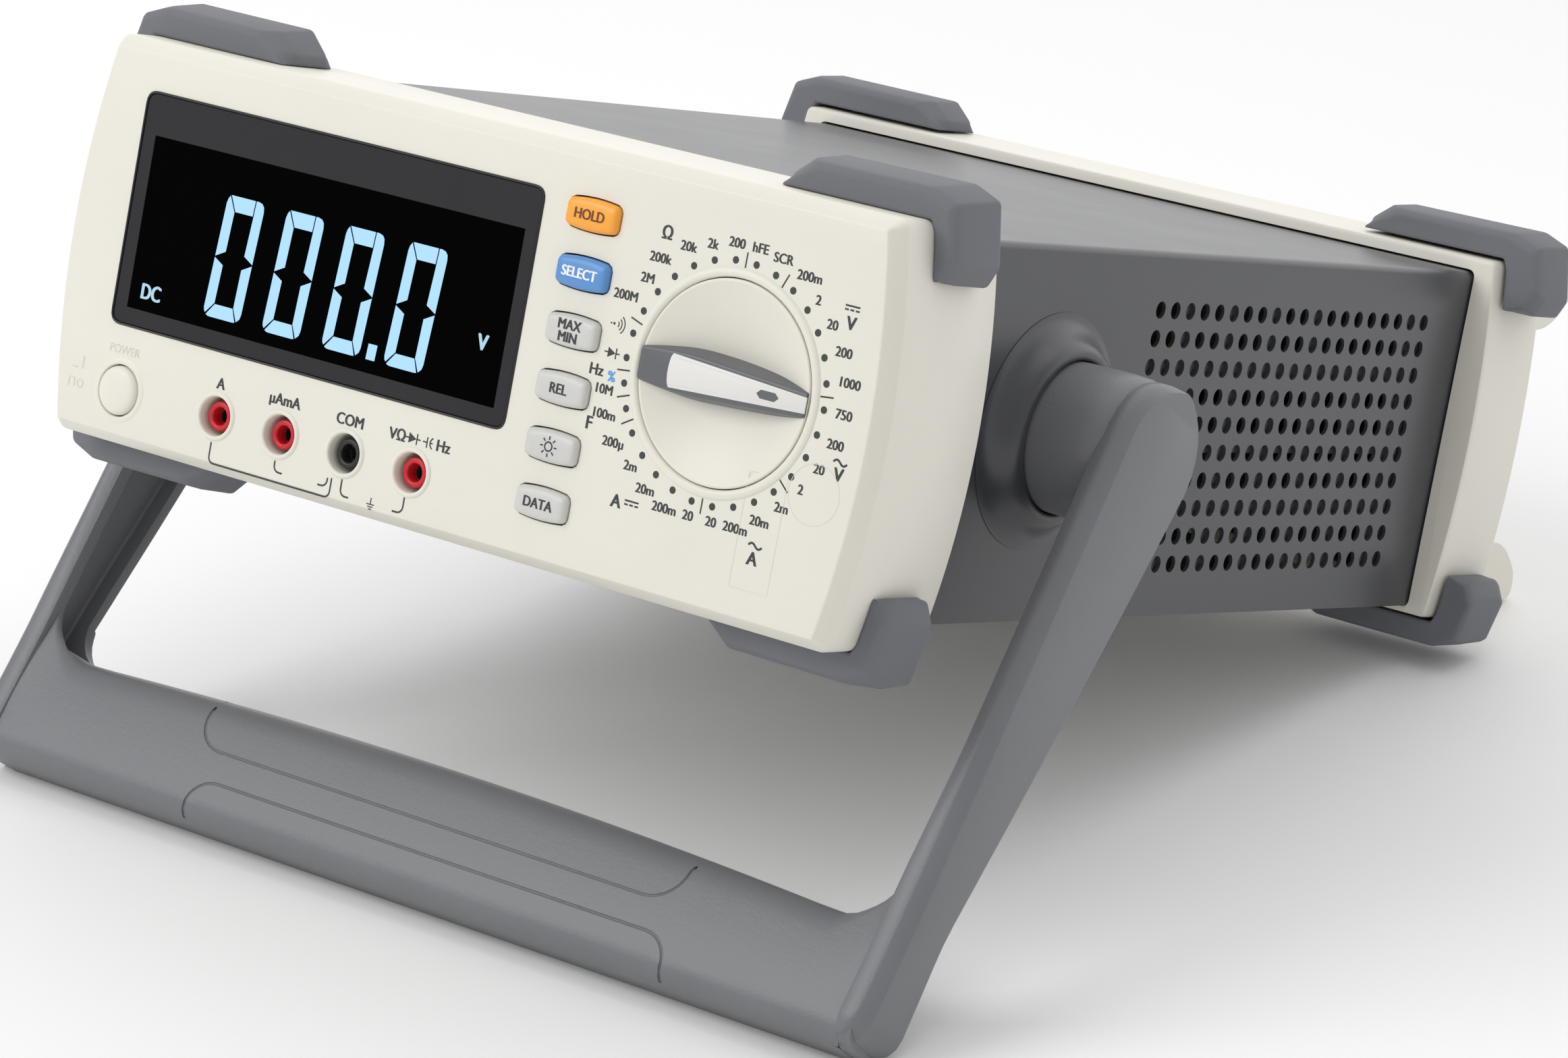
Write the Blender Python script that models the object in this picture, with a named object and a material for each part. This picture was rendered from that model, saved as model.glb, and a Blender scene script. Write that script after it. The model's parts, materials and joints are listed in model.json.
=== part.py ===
"""A bench multimeter that stands tilted on its swing handle, as an assembly of separate pieces.

Each piece is modelled in the housing's own frame, in millimetres: X across, Y from the front face to the back,
Z up, with the origin at the middle of the front face's lower edge. The housing empty then tilts everything back
until the handle's bar and the two lower cord posts stand on the floor, which is at z = 0.
"""

import math

import bmesh
import bpy
from mathutils import Vector

MM = 0.001
GAP = 0.3  # left between two pieces that touch
WELD = 2e-6  # metres

# Housing
HOUSING_HEIGHT = 94.0
FRONT_HALF = 112.0  # half width of the front bezel at its corners
FRONT_BOW = 5.2  # how far its sides bulge at mid height
FRONT_DEPTH = 39.0
REAR_HALF = 108.5
REAR_BOW = 3.2
REAR_START = 277.6
REAR_END = 306.0
BEZEL_WALL = 3.0
BEVEL_WIDTH = 2.9
BEVEL_DEPTH = 3.8
CORNER_RADIUS = 3.0
CHASSIS_HALF = 102.2
CHASSIS_LOW = 3.0
CHASSIS_TOP = 89.4
CHASSIS_OVERLAP = 5.0  # how far the sheet metal reaches into each bezel
SHEET = 1.0

# Vents: rows of slots in both sides
VENT_ROWS = 10
VENT_COLUMNS = 20
VENT_PITCH = 6.71
VENT_WIDTH = 4.1
VENT_FIRST_Y = 129.3
VENT_TOP_Z = 75.8

# Rear cord posts
POST_LENGTH = 32.0
POST_HALF_X = 97.0
POST_HEIGHT = 17.0
POST_LOW = 3.0  # height of the lower posts' undersides, which the tilted housing rests on

# Front panel
WINDOW = (-98.0, 19.5, 28.4, 82.4)  # low x, high x, low z, high z
DIAL_X, DIAL_Z = 75.7, 50.9
DIAL_RADIUS = 22.6
DIAL_RING = 24.6
DISH_DEPTH = 5.2
KEY_X = 34.0
KEY_TOP_Z = 79.2
KEY_PITCH = 12.86
KEY_HALF = (7.1, 2.95)
KEY_BULGE = 0.65
KEY_NAMES = ("hold_key", "select_key", "extremes_key", "relative_key", "backlight_key", "data_key")
POWER_X, POWER_Z = -92.4, 12.9
POWER_RADIUS = 5.8
JACK_LEFT_X, JACK_Z = -62.2, 13.4
JACK_PITCH = 19.5
JACK_NAMES = ("amps", "milliamps", "common", "volts")
WELL_RADIUS = 4.6
WELL_DEPTH = 10.0
BOARD_Y = 12.4
BOARD_THICKNESS = 1.6

# Bumpers
BUMPER_START = 6.5  # from each bezel's outer face
BUMPER_DEPTH = 26.0
BUMPER_RISE = 6.2  # how far a bumper stands out of the bezel
BUMPER_LONG = 41.0
BUMPER_SHORT = 17.0
BUMPER_CHAMFER = 3.2

# Handle
PIVOT_Y, PIVOT_Z = 89.2, 46.9
HANDLE_LEAN = math.radians(28.0)  # the arms lean this far forward of straight down
ARM_INSIDE, ARM_OUTSIDE = 125.0, 132.8
HUB_RADIUS = 18.3
ARM_END_RADIUS = 17.0
COLLAR_RADIUS = 21.0
COLLAR_HEIGHT = 6.6
BAR_TOP, BAR_BOTTOM = 117.6, 150.0  # distance from the pivot along the arm
BAR_FRONT, BAR_REAR = 9.0, -9.0  # across the arm, forward positive
BAR_ROUND = 7.0
BOLT_RADIUS = 4.0

FINISHES = {  # name: colour, roughness, metallic
    "cream_plastic": ((0.80, 0.78, 0.70), 0.45, 0.0),
    "dark_sheet": ((0.11, 0.112, 0.12), 0.5, 0.0),
    "plain_steel": ((0.60, 0.60, 0.60), 0.35, 1.0),
    "grey_rubber": ((0.17, 0.175, 0.185), 0.7, 0.0),
    "grey_plastic": ((0.21, 0.215, 0.225), 0.5, 0.0),
    "window_black": ((0.01, 0.01, 0.012), 0.15, 0.0),
    "lcd_glass": ((0.30, 0.55, 0.80), 0.2, 0.0),
    "board_green": ((0.03, 0.18, 0.07), 0.5, 0.0),
    "red_plastic": ((0.62, 0.02, 0.03), 0.35, 0.0),
    "black_plastic": ((0.015, 0.015, 0.016), 0.4, 0.0),
    "copper": ((0.75, 0.33, 0.14), 0.3, 1.0),
    "silicone": ((0.72, 0.72, 0.70), 0.7, 0.0),
    "orange_key": ((0.95, 0.42, 0.06), 0.4, 0.0),
    "blue_key": ((0.15, 0.36, 0.72), 0.4, 0.0),
    "grey_key": ((0.58, 0.58, 0.55), 0.45, 0.0),
    "white_plastic": ((0.82, 0.81, 0.77), 0.4, 0.0),
}


# Building blocks


def material(name):
    found = bpy.data.materials.get(name)
    if found:
        return found
    colour, roughness, metallic = FINISHES[name]
    made = bpy.data.materials.new(name)
    made.use_nodes = True
    shader = made.node_tree.nodes["Principled BSDF"]
    shader.inputs["Base Color"].default_value = (*colour, 1.0)
    shader.inputs["Roughness"].default_value = roughness
    shader.inputs["Metallic"].default_value = metallic
    return made


def empty(name, parent=None, at=(0, 0, 0), turn_x=0.0):
    made = bpy.data.objects.new(name, None)
    bpy.context.scene.collection.objects.link(made)
    made.parent = parent
    made.location = Vector(at) * MM
    made.rotation_euler = (turn_x, 0, 0)
    return made


def finish(bm, name):
    """Turns a bmesh in millimetres into an object in metres."""
    bmesh.ops.scale(bm, vec=(MM, MM, MM), verts=bm.verts)
    bmesh.ops.recalc_face_normals(bm, faces=bm.faces)
    mesh = bpy.data.meshes.new(name)
    bm.to_mesh(mesh)
    bm.free()
    made = bpy.data.objects.new(name, mesh)
    bpy.context.scene.collection.objects.link(made)
    return made


def loft(name, sections):
    """Closed skin through rings of points that all have the same count."""
    bm = bmesh.new()
    rings = [[bm.verts.new(point) for point in section] for section in sections]
    count = len(rings[0])
    for first, second in zip(rings, rings[1:]):
        for i in range(count):
            j = (i + 1) % count
            bm.faces.new((first[i], first[j], second[j], second[i]))
    bm.faces.new(rings[0])
    bm.faces.new(reversed(rings[-1]))
    return finish(bm, name)


def along_y(outline, y):
    return [(x, y, z) for x, z in outline]


def along_x(outline, x):
    return [(x, y, z) for y, z in outline]


def box(name, low, high):
    (x0, y0, z0), (x1, y1, z1) = low, high
    outline = [(x0, z0), (x1, z0), (x1, z1), (x0, z1)]
    return loft(name, [along_y(outline, y0), along_y(outline, y1)])


def turned(name, profile, centre, axis="Y", segments=32, ring=False):
    """Spins (radius, distance) points about an axis through centre. A ring's profile is a closed loop."""
    bm = bmesh.new()
    verts = [bm.verts.new((radius, 0, distance)) for radius, distance in profile]
    edges = [bm.edges.new(pair) for pair in zip(verts, verts[1:])]
    if ring:
        edges.append(bm.edges.new((verts[-1], verts[0])))
    bmesh.ops.spin(
        bm, geom=verts + edges, cent=(0, 0, 0), axis=(0, 0, 1), angle=math.tau, steps=segments, use_merge=True
    )
    bmesh.ops.remove_doubles(bm, verts=bm.verts, dist=1e-4)
    turn = {"X": lambda v: (v.z, v.x, v.y), "Y": lambda v: (v.y, v.z, v.x), "Z": lambda v: tuple(v)}[axis]
    for vert in bm.verts:
        vert.co = Vector(turn(vert.co)) + Vector(centre)
    return finish(bm, name)


def disc(name, centre, radius, start, end, segments=32):
    """Cylinder along Y from start to end, centred on (x, z)."""
    profile = [(0, start), (radius, start), (radius, end), (0, end)]
    return turned(name, profile, (centre[0], 0, centre[1]), segments=segments)


def apply_boolean(target, other, operation):
    modifier = target.modifiers.new("combine", "BOOLEAN")
    modifier.operation = operation
    modifier.object = other
    bpy.context.view_layer.objects.active = target
    bpy.ops.object.modifier_apply(modifier=modifier.name)
    bpy.data.objects.remove(other)
    weld(target)


def weld(obj):
    """Closes the hairline cracks that a Boolean can leave between points a micron apart."""
    bm = bmesh.new()
    bm.from_mesh(obj.data)
    bmesh.ops.remove_doubles(bm, verts=bm.verts, dist=WELD)
    bmesh.ops.dissolve_degenerate(bm, edges=bm.edges, dist=WELD)
    bm.to_mesh(obj.data)
    bm.free()


def cut(target, *cutters):
    for cutter in cutters:
        apply_boolean(target, cutter, "DIFFERENCE")
    return target


def join(target, *others):
    for other in others:
        apply_boolean(target, other, "UNION")
    return target


def fit(obj, finish_name, parent, origin=None):
    """Gives a piece its material and parent, and its own origin where it moves."""
    obj.data.materials.clear()
    obj.data.materials.append(material(finish_name))
    if origin is not None:
        shift = Vector(origin) * MM
        obj.data.transform(obj.matrix_world.Translation(-shift))
        obj.location = shift
    obj.parent = parent
    obj.data.shade_smooth()
    obj.data.set_sharp_from_angle(angle=math.radians(35))
    return obj


# Outlines


def bowed_x(z, half, bow):
    """Half width of a bezel at height z."""
    middle = HOUSING_HEIGHT / 2
    return half + bow * (1 - ((z - middle) / middle) ** 2)


def bezel_outline(half, bow, inset=0.0, steps=8):
    """Anticlockwise outline with bulging sides and small round corners, the same count of points at any inset."""
    low, high = inset, HOUSING_HEIGHT - inset
    radius = max(CORNER_RADIUS - inset, 0.6)
    quarter = [math.radians(30 * i) for i in range(4)]
    right = []
    for angle in quarter:
        z = low + radius * (1 - math.cos(angle))
        right.append((bowed_x(z, half, bow) - inset - radius * (1 - math.sin(angle)), z))
    for i in range(1, steps):
        z = low + radius + (high - low - 2 * radius) * i / steps
        right.append((bowed_x(z, half, bow) - inset, z))
    for angle in reversed(quarter):
        z = high - radius * (1 - math.cos(angle))
        right.append((bowed_x(z, half, bow) - inset - radius * (1 - math.sin(angle)), z))
    return right + [(-x, z) for x, z in reversed(right)]


def rounded_rectangle(x0, x1, z0, z1, radius, steps=4):
    corners = (
        (x1 - radius, z0 + radius, -90),
        (x1 - radius, z1 - radius, 0),
        (x0 + radius, z1 - radius, 90),
        (x0 + radius, z0 + radius, 180),
    )
    points = []
    for x, z, start in corners:
        for i in range(steps + 1):
            angle = math.radians(start + 90 * i / steps)
            points.append((x + radius * math.cos(angle), z + radius * math.sin(angle)))
    return points


def key_outline(grow=0.0, steps=6):
    """Barrel shape: straight short sides, and a top and bottom that bulge."""
    half_x, half_z = KEY_HALF[0] + grow, KEY_HALF[1] + grow
    top = []
    for i in range(steps + 1):
        x = half_x * (1 - 2 * i / steps)
        top.append((x, half_z + KEY_BULGE * (1 - (x / half_x) ** 2)))
    return top + [(-x, -z) for x, z in top]


def moved(outline, x, z):
    return [(px + x, pz + z) for px, pz in outline]


# Front


def front_bezel(housing):
    outer = bezel_outline(FRONT_HALF, FRONT_BOW)
    face = bezel_outline(FRONT_HALF, FRONT_BOW, BEVEL_WIDTH)
    bezel = loft(
        "front_bezel",
        [along_y(face, 0), along_y(outer, BEVEL_DEPTH), along_y(outer, FRONT_DEPTH)],
    )
    inner = bezel_outline(FRONT_HALF, FRONT_BOW, BEZEL_WALL)
    cut(bezel, loft("cavity", [along_y(inner, BEZEL_WALL), along_y(inner, FRONT_DEPTH - BEZEL_WALL)]))
    cut(bezel, chassis_hole(FRONT_DEPTH - BEZEL_WALL - 1, FRONT_DEPTH + 1))
    join(
        bezel,
        disc("dial_ring", (DIAL_X, DIAL_Z), DIAL_RING, -0.6, 6.0, 48),
        disc("power_ring", (POWER_X, POWER_Z), POWER_RADIUS + 1.5, -0.4, 6.0, 24),
    )
    for x in jack_places():
        join(bezel, disc("well_sleeve", (x, JACK_Z), WELL_RADIUS + 0.9, -0.5, WELL_DEPTH, 20))
    cut(
        bezel,
        loft("window_hole", [along_y(rounded_rectangle(*WINDOW, 3.0), y) for y in (-2, BEZEL_WALL + 1)]),
        disc("dial_hole", (DIAL_X, DIAL_Z), DIAL_RADIUS + GAP, -2, 8, 48),
        disc("power_hole", (POWER_X, POWER_Z), POWER_RADIUS + GAP, -2, 8, 24),
    )
    for x in jack_places():
        cut(bezel, disc("well", (x, JACK_Z), WELL_RADIUS, -2, WELL_DEPTH + 2, 20))
    for _, z in key_places():
        hole = moved(key_outline(GAP), KEY_X, z)
        cut(bezel, loft("key_hole", [along_y(hole, -1), along_y(hole, BEZEL_WALL + 1)]))
    return fit(bezel, "cream_plastic", housing)


def chassis_hole(start, end):
    return box(
        "chassis_hole",
        (-CHASSIS_HALF - GAP, start, CHASSIS_LOW - GAP),
        (CHASSIS_HALF + GAP, end, CHASSIS_TOP + GAP),
    )


def jack_places():
    return [JACK_LEFT_X + JACK_PITCH * i for i in range(len(JACK_NAMES))]


def key_places():
    return [(name, KEY_TOP_Z - KEY_PITCH * i) for i, name in enumerate(KEY_NAMES)]


def display(housing):
    x0, x1, z0, z1 = WINDOW
    pane = rounded_rectangle(x0 + GAP, x1 - GAP, z0 + GAP, z1 - GAP, 2.7)
    window = loft("display_window", [along_y(pane, 0.2), along_y(pane, 2.6)])
    fit(window, "window_black", housing)
    fit(box("lcd_module", (x0 + 1, 3.3, z0 + 1), (x1 - 1, 6.2, z1 - 1)), "lcd_glass", housing)
    fit(box("lcd_backlight", (x0 + 2, 6.5, z0 + 2), (x1 - 2, 10.0, z1 - 2)), "white_plastic", housing)


def front_board(housing):
    board = box("front_board", (-104, BOARD_Y, 6.0), (104, BOARD_Y + BOARD_THICKNESS, 87.5))
    holes = [((DIAL_X, DIAL_Z), 4.3), ((POWER_X, POWER_Z), 3.0)]
    holes += [((x, JACK_Z), 3.0) for x in jack_places()]
    for centre, radius in holes:
        cut(board, disc("board_hole", centre, radius, BOARD_Y - 1, BOARD_Y + BOARD_THICKNESS + 1, 16))
    fit(board, "board_green", housing)
    fit(box("key_mat", (KEY_X - 8.5, 9.3, 9.0), (KEY_X + 8.5, BOARD_Y - GAP, 85.0)), "silicone", housing)


def jacks(housing):
    for name, x in zip(JACK_NAMES, jack_places()):
        tube = [
            (3.2, 2.2), (3.2, 10.4), (5.4, 10.4), (5.4, 12.1),
            (2.8, 12.1), (2.8, 4.0), (2.05, 4.0), (2.05, 2.2),
        ]  # fmt: skip
        body = turned(f"jack_{name}", tube, (x, 0, JACK_Z), segments=20, ring=True)
        fit(body, "black_plastic" if name == "common" else "red_plastic", housing)
        sleeve = [(2.0, 4.4), (2.45, 4.4), (2.45, 19.0), (2.0, 19.0)]
        contact = turned(f"contact_{name}", sleeve, (x, 0, JACK_Z), segments=16, ring=True)
        fit(contact, "plain_steel", housing)


def keys(housing):
    colours = {"hold_key": "orange_key", "select_key": "blue_key"}
    steps = (  # how much wider than the cap, and where along Y
        (-0.6, -1.8), (0.0, -1.3), (0.0, 3.5), (1.1, 3.5), (1.1, 4.7), (-1.2, 4.7), (-1.2, 7.3),
    )  # fmt: skip
    for name, z in key_places():
        sections = [along_y(moved(key_outline(grow), KEY_X, z), y) for grow, y in steps]
        fit(loft(name, sections), colours.get(name, "grey_key"), housing, (KEY_X, 0, z))


def power_button(housing):
    profile = [
        (0, -1.4), (4.6, -1.2), (5.5, -0.7), (POWER_RADIUS, 0),
        (POWER_RADIUS, 8.5), (2.2, 8.5), (2.2, 14.0), (0, 14.0),
    ]  # fmt: skip
    button = turned("power_button", profile, (POWER_X, 0, POWER_Z), segments=24)
    fit(button, "cream_plastic", housing, (POWER_X, 0, POWER_Z))
    switch = box("power_switch", (POWER_X - 5, 17.4, POWER_Z - 5), (POWER_X + 5, 30.0, POWER_Z + 5))
    leg = box("leg", (POWER_X + 3, 14.3, POWER_Z - 5), (POWER_X + 5, 18.0, POWER_Z + 5))
    fit(join(switch, leg), "black_plastic", housing)


def dish_y(radius):
    return DISH_DEPTH * (1 - (radius / (DIAL_RADIUS - 0.9)) ** 2) - 0.3


def dish_profile(lift=0.0, steps=6):
    """The knob's hollow front from its middle out to the flat rim."""
    rim = DIAL_RADIUS - 0.9
    return [(rim * i / steps, dish_y(rim * i / steps) - lift) for i in range(steps + 1)]


def grip_outline(grow, half_length):
    """The pointer bar from above: blunt at the left end, widest near it, slim at the tip."""
    upper = [(half_length, 2.6 + grow), (-11.0, 4.4 + grow), (-half_length, 3.5 + grow)]
    return upper + [(x, -z) for x, z in reversed(upper)]


def range_knob(housing):
    dial = empty("dial_axis", housing, (DIAL_X, 0, DIAL_Z))
    rim_and_back = [(DIAL_RADIUS - 0.2, -0.3), (DIAL_RADIUS, 0), (DIAL_RADIUS, 5.5), (17.0, 8.6), (0, 8.6)]
    profile = dish_profile() + rim_and_back
    fit(turned("range_knob", profile, (0, 0, 0), segments=48), "cream_plastic", dial)

    grip = loft(
        "knob_grip",
        [along_y(grip_outline(0, 22.0), -1.0), along_y(grip_outline(1.8, 22.0), 6.0)],
    )
    seat = dish_profile(lift=GAP) + [(DIAL_RADIUS + 5, -0.3 - GAP), (DIAL_RADIUS + 5, 9), (0, 9)]
    cut(grip, turned("seat", seat, (0, 0, 0), segments=48))
    pocket = [(22.5, 1.9), (-13.9, 3.8), (-13.9, -3.8), (22.5, -1.9)]
    cut(grip, loft("pocket", [along_y(pocket, -2), along_y(pocket, -0.7)]))
    fit(grip, "grey_plastic", dial)
    inlay = [(21.5, 1.5), (-13.6, 3.4), (-13.6, -3.4), (21.5, -1.5)]
    fit(loft("knob_inlay", [along_y(inlay, -1.5), along_y(inlay, -1.0)]), "white_plastic", dial)
    fit(disc("knob_shaft", (0, 0), 3.6, 8.9, 24.0, 16), "white_plastic", dial)

    switch = disc("rotary_switch", (DIAL_X, DIAL_Z), 19.5, 14.3, 21.0, 32)
    cut(switch, disc("shaft_hole", (DIAL_X, DIAL_Z), 3.9, 12, 26, 16))
    fit(switch, "black_plastic", housing)


# Chassis


def top_cover(housing):
    """Folded sheet steel: the top and both sides, with the vent slots and the handle bolts' holes."""
    start, end = FRONT_DEPTH - CHASSIS_OVERLAP, REAR_START + CHASSIS_OVERLAP
    bend = 2.0

    def fold(half, top):
        points = [(half, CHASSIS_LOW)]
        for i in range(4):
            angle = math.radians(30 * i)
            points.append((half - bend + bend * math.cos(angle), top - bend + bend * math.sin(angle)))
        return points + [(-x, z) for x, z in reversed(points)]

    outer = fold(CHASSIS_HALF, CHASSIS_TOP)
    inner = fold(CHASSIS_HALF - SHEET, CHASSIS_TOP - SHEET)
    profile = outer + inner[::-1]
    cover = loft("top_cover", [along_y(profile, start), along_y(profile, end)])
    length = VENT_PITCH * (VENT_COLUMNS - 1)
    for row in range(VENT_ROWS):
        z = VENT_TOP_Z - VENT_PITCH * row
        low = (-CHASSIS_HALF - 2, VENT_FIRST_Y - VENT_WIDTH / 2, z - VENT_WIDTH / 2)
        high = (CHASSIS_HALF + 2, VENT_FIRST_Y + length + VENT_WIDTH / 2, z + VENT_WIDTH / 2)
        cut(cover, box("vents", low, high))
    radius = BOLT_RADIUS + GAP
    hole = [(0, -120), (radius, -120), (radius, 120), (0, 120)]
    cut(cover, turned("bolt_holes", hole, (0, PIVOT_Y, PIVOT_Z), "X", 20))
    return fit(cover, "dark_sheet", housing)


def base_tray(housing):
    """Bottom sheet with turned-up sides, and four posts for the main board."""
    half = CHASSIS_HALF - SHEET - GAP
    start, end = FRONT_DEPTH - CHASSIS_OVERLAP, REAR_START + CHASSIS_OVERLAP
    floor, rim = CHASSIS_LOW, CHASSIS_LOW + 10
    profile = [
        (-half, floor), (half, floor), (half, rim), (half - SHEET, rim),
        (half - SHEET, floor + SHEET), (-half + SHEET, floor + SHEET), (-half + SHEET, rim), (-half, rim),
    ]  # fmt: skip
    tray = loft("base_tray", [along_y(profile, start), along_y(profile, end)])
    for x in (-60, 60):
        for y in (75, 215):
            post = [(0, floor + SHEET / 2), (3.5, floor + SHEET / 2), (3.5, 11.7), (0, 11.7)]
            join(tray, turned("post", post, (x, y, 0), "Z", 12))
    fit(tray, "plain_steel", housing)
    fit(box("main_board", (-72, 62, 12.0), (72, 228, 13.6)), "board_green", housing)


def side_baffles(housing):
    """Inner guard sheets behind the vents, with wide windows between their bars."""
    for side, sign in (("left", -1), ("right", 1)):
        near, far = sorted((sign * 95.0, sign * 96.2))
        guard = box(f"vent_guard_{side}", (near, 122, 14.5), (far, 266, 80))
        for row in range(3):
            for column in range(5):
                y, z = 127 + 28 * column, 17.5 + 21 * row
                cut(guard, box("opening", (near - 1, y, z), (far + 1, y + 22, z + 15)))
        fit(guard, "plain_steel", housing)


def transformer(housing):
    x, y, z = -40.0, 236.0, 14.2
    core = box("transformer_core", (x - 30, y, z + 3), (x + 30, y + 22, z + 53))
    for low in (x - 20, x + 10):
        cut(core, box("core_window", (low, y - 1, z + 13), (low + 10, y + 23, z + 43)))
    fit(core, "plain_steel", housing)
    coil = box("transformer_coil", (x - 19.5, y - 8, z + 13.5), (x + 19.5, y + 30, z + 42.5))
    cut(coil, box("core_leg", (x - 10.3, y - 0.3, z), (x + 10.3, y + 22.3, z + 60)))
    fit(coil, "copper", housing)


def ribbon_cable(housing):
    """Flat cable from the front board's lower edge back to the main board."""
    thick = 0.8
    upper = [(14.3, 30.0), (22.0, 27.0), (32.0, 20.0), (44.0, 16.0), (58.0, 15.0), (70.0, 14.9)]
    lower = [(y, z - thick) for y, z in upper]
    outline = [(y, z) for y, z in upper] + lower[::-1]
    cable = loft("ribbon_cable", [along_x(outline, -25), along_x(outline, 10)])
    fit(cable, "silicone", housing)


# Rear


def rear_bezel(housing):
    """Frame that wraps the rear of the chassis, with four posts that a cord can be wound on."""
    front = bezel_outline(REAR_HALF - 1.0, REAR_BOW)
    outer = bezel_outline(REAR_HALF, REAR_BOW)
    back = bezel_outline(REAR_HALF, REAR_BOW, BEVEL_WIDTH)
    bezel = loft(
        "rear_bezel",
        [along_y(front, REAR_START), along_y(outer, REAR_END - BEVEL_DEPTH), along_y(back, REAR_END)],
    )
    inner = bezel_outline(REAR_HALF - 1.0, REAR_BOW, BEZEL_WALL)
    cut(bezel, chassis_hole(REAR_START - 1, REAR_START + BEZEL_WALL + 1))
    cut(bezel, loft("cavity", [along_y(inner, REAR_START + BEZEL_WALL), along_y(inner, REAR_END - BEZEL_WALL)]))
    cut(bezel, box("rear_opening", (-93, REAR_END - BEZEL_WALL - 1, 12), (93, REAR_END + 1, 82)))
    for sign in (-1, 1):
        for low in (POST_LOW, HOUSING_HEIGHT - POST_LOW - POST_HEIGHT):
            join(bezel, cord_post(sign * POST_HALF_X, low))
    return fit(bezel, "cream_plastic", housing)


def cord_post(x, low):
    """Horn-shaped post: straight along the side nearer the housing's edge, narrowing to its tip on the other."""
    high = low + POST_HEIGHT
    straight, slanted = (low, high) if low < HOUSING_HEIGHT / 2 else (high, low)
    inward = math.copysign(1, straight - slanted)
    start, end = REAR_END - 1, REAR_END + POST_LENGTH
    outline = [
        (start, straight), (end, straight), (end, slanted + inward * 7),
        (end - 9, slanted + inward * 4), (start, slanted),
    ]  # fmt: skip
    half = 3.5
    return loft("post", [along_x(outline, x - half), along_x(outline, x + half)])


def rear_panel(housing):
    start, end = 299.6, 301.2
    panel = box("rear_panel", (-103.0, start, 6.2), (103.0, end, 87.8))
    inlet_x, inlet_z = 62.0, 40.0
    cut(panel, box("inlet_hole", (inlet_x - 14, 290, inlet_z - 10.5), (inlet_x + 14, 310, inlet_z + 10.5)))
    cut(panel, disc("fuse_hole", (20, 40), 6.3, 290, 310, 20))
    cut(panel, box("port_hole", (-46.3, 290, 33.7), (-33.7, 310, 46.3)))
    fit(panel, "plain_steel", housing)

    inlet = box("mains_inlet", (inlet_x - 13.7, 284, inlet_z - 10.2), (inlet_x + 13.7, 303.0, inlet_z + 10.2))
    join(inlet, box("rim", (inlet_x - 15.5, 301.5, inlet_z - 12), (inlet_x + 15.5, 303.0, inlet_z + 12)))
    cut(inlet, box("socket", (inlet_x - 12, 287.5, inlet_z - 8), (inlet_x + 12, 304, inlet_z + 8)))
    for x, z in ((-7, -2), (0, 2), (7, -2)):
        pin_x, pin_z = inlet_x + x, inlet_z + z
        join(inlet, box("pin", (pin_x - 1, 287.0, pin_z - 2), (pin_x + 1, 296.0, pin_z + 2)))
    fit(inlet, "black_plastic", housing)

    holder = [(0, 284), (6.0, 284), (6.0, 301.5), (7.5, 301.5), (7.5, 304.0), (6.5, 305.0), (0, 305.0)]
    fit(turned("fuse_holder", holder, (20, 0, 40), segments=20), "black_plastic", housing)

    port = box("data_port", (-46, 290, 34), (-34, 302.5, 46))
    cut(port, box("port_socket", (-44.2, 294, 36), (-35.8, 304, 44)))
    fit(port, "plain_steel", housing)


def rear_screws(housing):
    """Two down each side of the rear frame, heads on its outside face."""
    for side, x in (("left", -99.0), ("right", 99.0)):
        for level, z in (("lower", 36.0), ("upper", 58.0)):
            profile = [(0, REAR_END + GAP), (3.4, REAR_END + GAP), (3.0, REAR_END + 1.6), (0, REAR_END + 1.9)]
            screw = turned(f"rear_screw_{side}_{level}", profile, (x, 0, z), segments=16)
            fit(screw, "plain_steel", housing)


# Bumpers


def bumper_outline(half, bow, rise, trim):
    """L shape round the upper right corner: its inside follows the bezel, its outside stands out by rise."""
    top = HOUSING_HEIGHT
    lowest = top - BUMPER_SHORT
    inside = [(bowed_x(z, half, bow) + GAP, z) for z in (lowest, lowest + 7, top - CORNER_RADIUS)]
    inside += [(half + GAP - 1, top + GAP), (half - BUMPER_LONG, top + GAP)]
    far = bowed_x(lowest + 7, half, bow) + rise
    outside = [
        (half - BUMPER_LONG + trim, top + GAP + 2.2),
        (half - BUMPER_LONG + 5 + trim, top + rise),
        (far - 7, top + rise),
        (far, top + rise - 7),
        (far, lowest + 3 + trim / 2),
        (far - rise * 0.4, lowest + trim / 2),
    ]
    return inside + outside


def bumpers(housing):
    ends = (
        ("front", FRONT_HALF, FRONT_BOW, BUMPER_START, 1),
        ("rear", REAR_HALF, REAR_BOW, REAR_END - BUMPER_START, -1),
    )
    slim, full = BUMPER_RISE - BUMPER_CHAMFER, BUMPER_RISE
    steps = (  # distance along Y, how far it stands out, how much shorter its legs are
        (0, slim, 3),
        (BUMPER_CHAMFER, full, 0),
        (BUMPER_DEPTH - BUMPER_CHAMFER, full, 0),
        (BUMPER_DEPTH, slim, 3),
    )
    for end, half, bow, start, direction in ends:
        for level, flip_z in (("upper", False), ("lower", True)):
            for side, sign in (("left", -1), ("right", 1)):
                sections = []
                for offset, rise, trim in steps:
                    outline = bumper_outline(half, bow, rise, trim)
                    placed = [(sign * x, HOUSING_HEIGHT - z if flip_z else z) for x, z in outline]
                    sections.append(along_y(placed, start + direction * offset))
                fit(loft(f"bumper_{end}_{level}_{side}", sections), "grey_rubber", housing)


# Handle


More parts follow.
